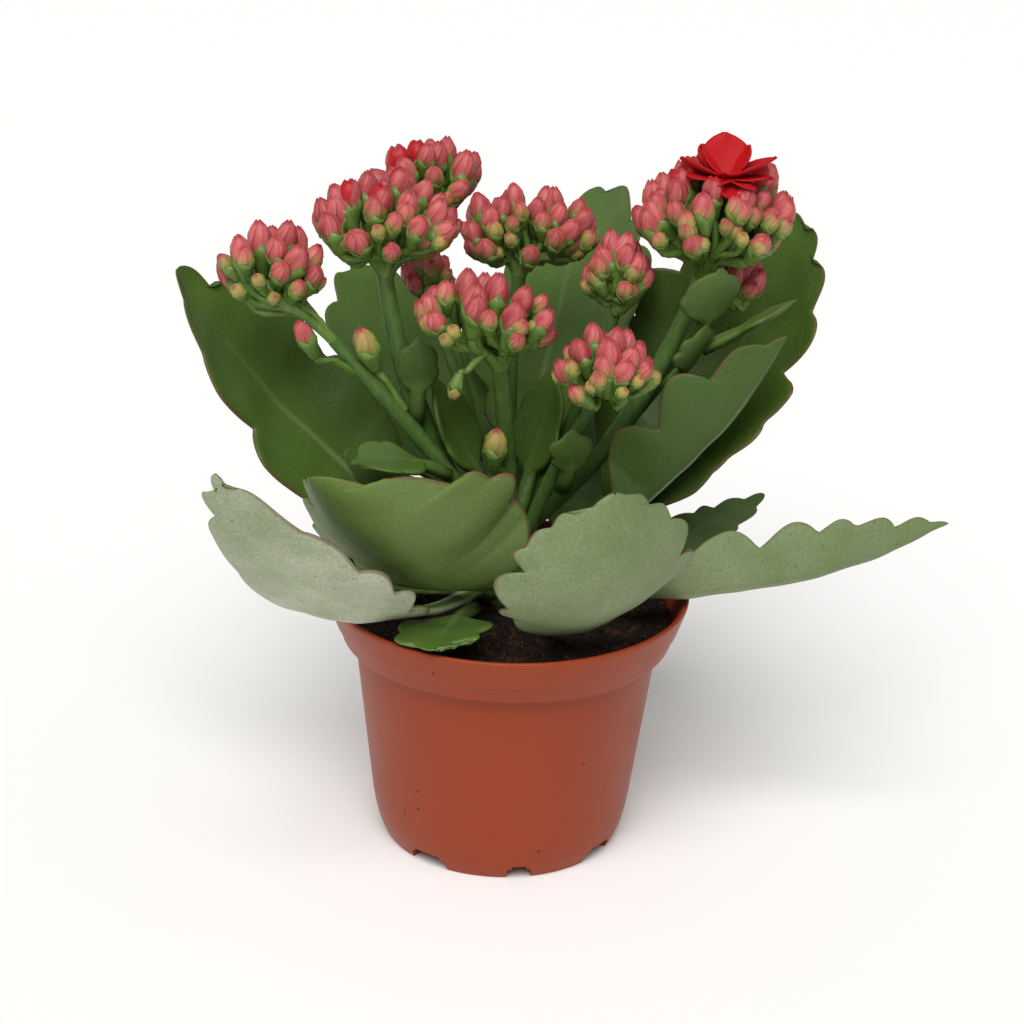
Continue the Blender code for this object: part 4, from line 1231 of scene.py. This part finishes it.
def petal_material():
    """Living petals of a closed bud: matt and velvety, coral with a dark red line where each petal
    overlaps the next and painted shade fading across the petal from it, yellow-green while young
    and at the foot, and darker at the points."""
    material, add = new_material("coral_bud_petals", IOR=1.4, Roughness=0.5)
    place = add("ShaderNodeTexCoord", out="Object")
    names = ("age", "tone", "opening")
    marks = [add("ShaderNodeAttribute", out="Fac", attribute_name=name) for name in names]
    age, tone, opening = marks
    chart = add("ShaderNodeUVMap", uv_map="UVMap")
    around = add("ShaderNodeSeparateXYZ", {0: chart})
    high = around.node.outputs[1]
    # Colour comes in from the point downwards as the bud ripens.
    line = add("ShaderNodeMath", {0: age, 1: 1.05}, operation="MULTIPLY")
    depth = add("ShaderNodeMath", {0: high, 1: line}, operation="ADD")
    # Fine veins run lengthwise on each petal, and a seam for each petal winds round the bud.
    stretch = add("ShaderNodeMapping", {"Vector": chart, "Scale": (46.0, 2.2, 1.0)})
    veins = add("ShaderNodeTexNoise", {"Vector": stretch, "Scale": 1.0, "Detail": 2.0}, "Fac")
    turns = add("ShaderNodeMath", {0: around, 1: float(PETALS)}, operation="MULTIPLY")
    phase = add("ShaderNodeMath", {0: turns}, operation="FRACT")
    # Each range: its source, from where to where, and what it becomes.
    ranges = {
        "blush": (depth, 0.85, 1.5, 0.0, 1.0),
        "pale": (veins, 0.42, 0.75, 0.0, 0.5),
        "painted_overlap_shade": (phase, 0.06, 0.4, 0.4, 0.0),
        "seam": (phase, 0.0, 0.1, 1.0, 0.0),
        "amount": (age, 0.0, 0.6, 0.35, 1.0),
        "tips": (high, 0.84, 1.0, 0.0, 0.75),
        "inner": (high, 0.3, 0.5, 0.0, 1.0),
    }
    part = {}
    for name, row in ranges.items():
        curve = "SMOOTHSTEP" if name in ("blush", "tips") else "LINEAR"
        part[name] = add("ShaderNodeMapRange", dict(enumerate(row)), interpolation_type=curve)
    # Painted shade: each petal is darkened just past its seam, where the next petal overlaps it,
    # fading across the petal.
    dark = add("ShaderNodeMath", {0: part["seam"], 1: part["painted_overlap_shade"]}, operation="MAXIMUM")
    dark = add("ShaderNodeMath", {0: dark, 1: part["amount"]}, operation="MULTIPLY")
    # An opening flower shows the scarlet inner face on one half.
    half = add("ShaderNodeMath", {0: around, 1: 0.5}, operation="LESS_THAN")
    inner = add("ShaderNodeMath", {0: part["inner"], 1: half}, operation="MULTIPLY")
    scarlet = add("ShaderNodeMath", {0: inner, 1: opening}, operation="MULTIPLY")
    ripe = add("ShaderNodeMix", {0: tone, 6: srgb("A63A42"), 7: srgb("C4585A")}, **COLOURS)
    body = add("ShaderNodeMix", {0: tone, 6: srgb("748634"), 7: srgb("9C9A42")}, **COLOURS)
    for share, colour in (
        (part["blush"], ripe),
        (part["pale"], srgb("DC9488")),
        (dark, srgb("741C24")),
        (part["tips"], srgb("9C3032")),
        (scarlet, srgb("B01620")),
    ):
        body = add("ShaderNodeMix", {0: share, 6: body, 7: colour}, **COLOURS)
    grain = add("ShaderNodeTexNoise", {"Vector": place, "Scale": 1500.0, "Detail": 2.0}, "Fac")
    bump = add("ShaderNodeBump", {"Height": grain, "Strength": 0.15, "Distance": 0.0002})
    return link_shader(material, Base_Color=body, Normal=bump)


coral_petals = petal_material()
closed_bud = bud_shape("closed_bud_shape", BUD_RINGS, 0.2)
opening_bud = bud_shape("opening_bud_shape", OPENING_RINGS, 0.5)
calyx = cup_shape("calyx_shape")
bud_tree = buds_tree(coral_petals)
# The flower stalks are younger than the stems: the same skin, paler and yellower.
stalk_skin = stem_material("young_stalk_skin", "4A6A2A", "648236", "84984A")
stalk_tree = stalks_tree(stalk_skin)


def add_flowering(name, base, lean, buds, thick, slot):
    """The petals and the green stalks of a group of buds, as two pieces."""
    points = bud_points(name + "_points", buds)
    skeleton = stalk_skeleton(name + "_stalks", base, lean, buds, thick)
    green = grow(skeleton, stalk_tree, stalk_skin, Bud_Points=points, Cup=calyx)
    points.name = name + "_petals"
    petals = grow(points, bud_tree, coral_petals, Closed_Bud=closed_bud, Opening_Bud=opening_bud)
    fit(petals, slot, name)
    fit(green, "stem_skin", name)


for head in HEADS:
    base = Vector(head.base)
    stem = min(STEMS, key=lambda s: (Vector(s.end) - base).length)
    lean = (Vector(stem.end) - Vector(stem.bend)).normalized()
    add_flowering(head.name, base, lean, head_buds(head), stem.radii[2] * 0.95, "coral_buds")

# Single buds. Late side buds on stalks of their own, lower on the stems: one nearly ripe, two still
# yellow-green with a faint blush, and a small one that hangs down.
Side = collections.namedtuple("Side", "name base tip axis age size")
SIDE_BUDS = [
    Side("bud_left_low", (-46, -12, 145), (-59, -21, 161), (-0.4, -0.2, 0.9), 0.8, 1.0),
    Side("bud_left_inner", (-33, -10, 137), (-43, -13, 157), (-0.35, -0.2, 0.9), 0.22, 1.6),
    Side("bud_hanging", (-12, -21, 150), (-17, -24, 141), (-0.25, -0.1, -0.95), 0.12, 1.1),
    Side("bud_front_low", (-2, -9, 114), (-4.5, -16, 130.5), (0.05, -0.15, 0.98), 0.12, 1.8),
]

rng = random.Random(41)
for side in SIDE_BUDS:
    axis = Vector(side.axis).normalized()
    bud = bud_at(Vector(side.tip), axis, side.age, rng)
    bud = bud._replace(
        length=bud.length * side.size,
        radius=bud.radius * side.size * 0.92,
        foot=Vector(side.tip) - axis * bud.length * side.size,
    )
    lean = (bud.foot - Vector(side.base)).normalized()
    add_flowering(side.name, Vector(side.base), lean, [bud], 1.3, "young_buds")
for shape in (closed_bud, opening_bud, calyx):
    bpy.data.objects.remove(shape)

# Open flower. One double flower has opened on the right-hand head: rings of thin scarlet petals
# with pointed tips, the broadest standing up, the outer ones spread flat over the buds.
Petal = collections.namedtuple("Petal", "heading rise length half_width cup curl roll")
FLOWER_PETALS = [
    Petal(97, 58, 13.0, 7.0, 0.10, 16, -6),
    Petal(183, 22, 14.0, 3.6, 0.25, 22, 10),
    Petal(200, 6, 12.0, 3.6, 0.15, 10, 0),
    Petal(3, 24, 14.5, 5.4, 0.30, 24, -8),
    Petal(345, 6, 12.5, 3.4, 0.15, 6, 0),
    Petal(285, -22, 9.0, 4.6, 0.12, -14, 6),
    Petal(318, -6, 10.0, 3.4, 0.15, -8, -6),
    Petal(240, -4, 9.5, 3.4, 0.15, -6, 8),
    Petal(30, 50, 11.0, 4.4, 0.25, 14, 0),
    Petal(150, 44, 10.5, 4.0, 0.25, 16, 0),
    Petal(262, 30, 5.0, 2.4, 0.4, 40, 0),
    Petal(335, 34, 5.0, 2.2, 0.4, 40, 0),
    Petal(205, 34, 5.0, 2.2, 0.4, 40, 0),
    Petal(70, 36, 13.5, 4.6, 0.2, 10, 0),
    Petal(125, 30, 13.5, 4.4, 0.2, 10, 0),
]
PETAL_THICKNESS = 0.45
PETAL_STEPS, PETAL_COLUMNS = 12, 8
PETAL_FULLNESS = 2.5
RUFFLE = 0.35


def petal_rows(petal, middle):
    """Points of the petal's face, a row for each step from its foot to its pointed tip."""
    heading = math.radians(petal.heading)
    roll = math.radians(petal.roll)
    flat = Vector((math.cos(heading), math.sin(heading), 0))
    side = Vector((-math.sin(heading), math.cos(heading), 0))
    point = Vector(middle)
    rows = []
    for step in range(PETAL_STEPS + 1):
        t = step / PETAL_STEPS
        rise = math.radians(petal.rise + petal.curl * (t - 0.4))
        ahead = flat * math.cos(rise) + Vector((0, 0, math.sin(rise)))
        up = ahead.cross(side)
        turned = side * math.cos(roll) + up * math.sin(roll)
        width = petal.half_width * PETAL_FULLNESS * (t + 0.02) ** 0.75 * (1.005 - t) ** 0.7
        row = []
        for place in range(PETAL_COLUMNS + 1):
            x = 2 * place / PETAL_COLUMNS - 1
            bowl = petal.cup * width * x * x
            ruffle = RUFFLE * math.sin(5 * t + 3 * x + petal.heading) * t
            row.append(point + turned * (x * width) + up * (bowl + ruffle))
        rows.append(row)
        point = point + ahead * (petal.length / PETAL_STEPS)
    return rows


def petal_paint():
    """Living petal, a thin velvet skin: scarlet inside and a little duller outside, with faint
    veins."""
    values = {"IOR": 1.4, "Roughness": 0.6, "Specular_IOR_Level": 0.25}
    material, add = new_material("scarlet_petal_skin", **values)
    upper = add("ShaderNodeAttribute", out="Fac", attribute_name="upper")
    chart = add("ShaderNodeUVMap", uv_map="UVMap")
    stretch = add("ShaderNodeMapping", {"Vector": chart, "Scale": (16.0, 1.5, 1.0)})
    veins = add("ShaderNodeTexNoise", {"Vector": stretch, "Scale": 1.0, "Detail": 2.0}, "Fac")
    inside = add("ShaderNodeMix", {0: veins, 6: srgb("A00810"), 7: srgb("BE1218")}, **COLOURS)
    outside = add("ShaderNodeMix", {0: veins, 6: srgb("98101A"), 7: srgb("B41C22")}, **COLOURS)
    colour = add("ShaderNodeMix", {0: upper, 6: outside, 7: inside}, **COLOURS)
    bump = add("ShaderNodeBump", {"Height": veins, "Strength": 0.25, "Distance": 0.0003})
    return link_shader(material, Base_Color=colour, Normal=bump)


def petal_skin(bm, rows, sign, face_mark):
    """The vertices of one side of a petal, half its thickness from its middle surface."""
    grid = []
    for i, row in enumerate(rows):
        line = []
        for j, point in enumerate(row):
            ahead = rows[min(i + 1, len(rows) - 1)][j] - rows[max(i - 1, 0)][j]
            across = row[min(j + 1, len(row) - 1)] - row[max(j - 1, 0)]
            normal = across.cross(ahead).normalized()
            vert = bm.verts.new(point + normal * sign * PETAL_THICKNESS / 2)
            vert[face_mark] = 1.0 if sign * normal.z > 0 else 0.0
            line.append(vert)
        grid.append(line)
    return grid


def add_open_flower(material):
    bm = bmesh.new()
    chart = bm.loops.layers.uv.new("UVMap")
    face_mark = bm.verts.layers.float.new("upper")
    ups, outs = range(PETAL_STEPS + 1), range(PETAL_COLUMNS + 1)
    rim = [(i, 0) for i in ups[:-1]] + [(PETAL_STEPS, j) for j in outs[:-1]]
    rim += [(i, PETAL_COLUMNS) for i in ups[:0:-1]] + [(0, j) for j in outs[:0:-1]]
    for petal in FLOWER_PETALS:
        rows = petal_rows(petal, FLOWER_MIDDLE)
        top, bottom = (petal_skin(bm, rows, sign, face_mark) for sign in (1, -1))
        for i in range(PETAL_STEPS):
            for j in range(PETAL_COLUMNS):
                for grid, order in ((top, 1), (bottom, -1)):
                    corners = [(i, j), (i, j + 1), (i + 1, j + 1), (i + 1, j)][::order]
                    face = bm.faces.new([grid[a][b] for a, b in corners])
                    for loop, (a, b) in zip(face.loops, corners):
                        loop[chart].uv = (b / PETAL_COLUMNS, a / PETAL_STEPS)
        for (a, b), (c, d) in zip(rim, rim[1:] + rim[:1]):
            bm.faces.new((top[a][b], top[c][d], bottom[c][d], bottom[a][b]))
    bmesh.ops.recalc_face_normals(bm, faces=bm.faces)
    fit(object_from("open_flower_petals", bm, material), "red_petals", "open_flower")


add_open_flower(petal_paint())
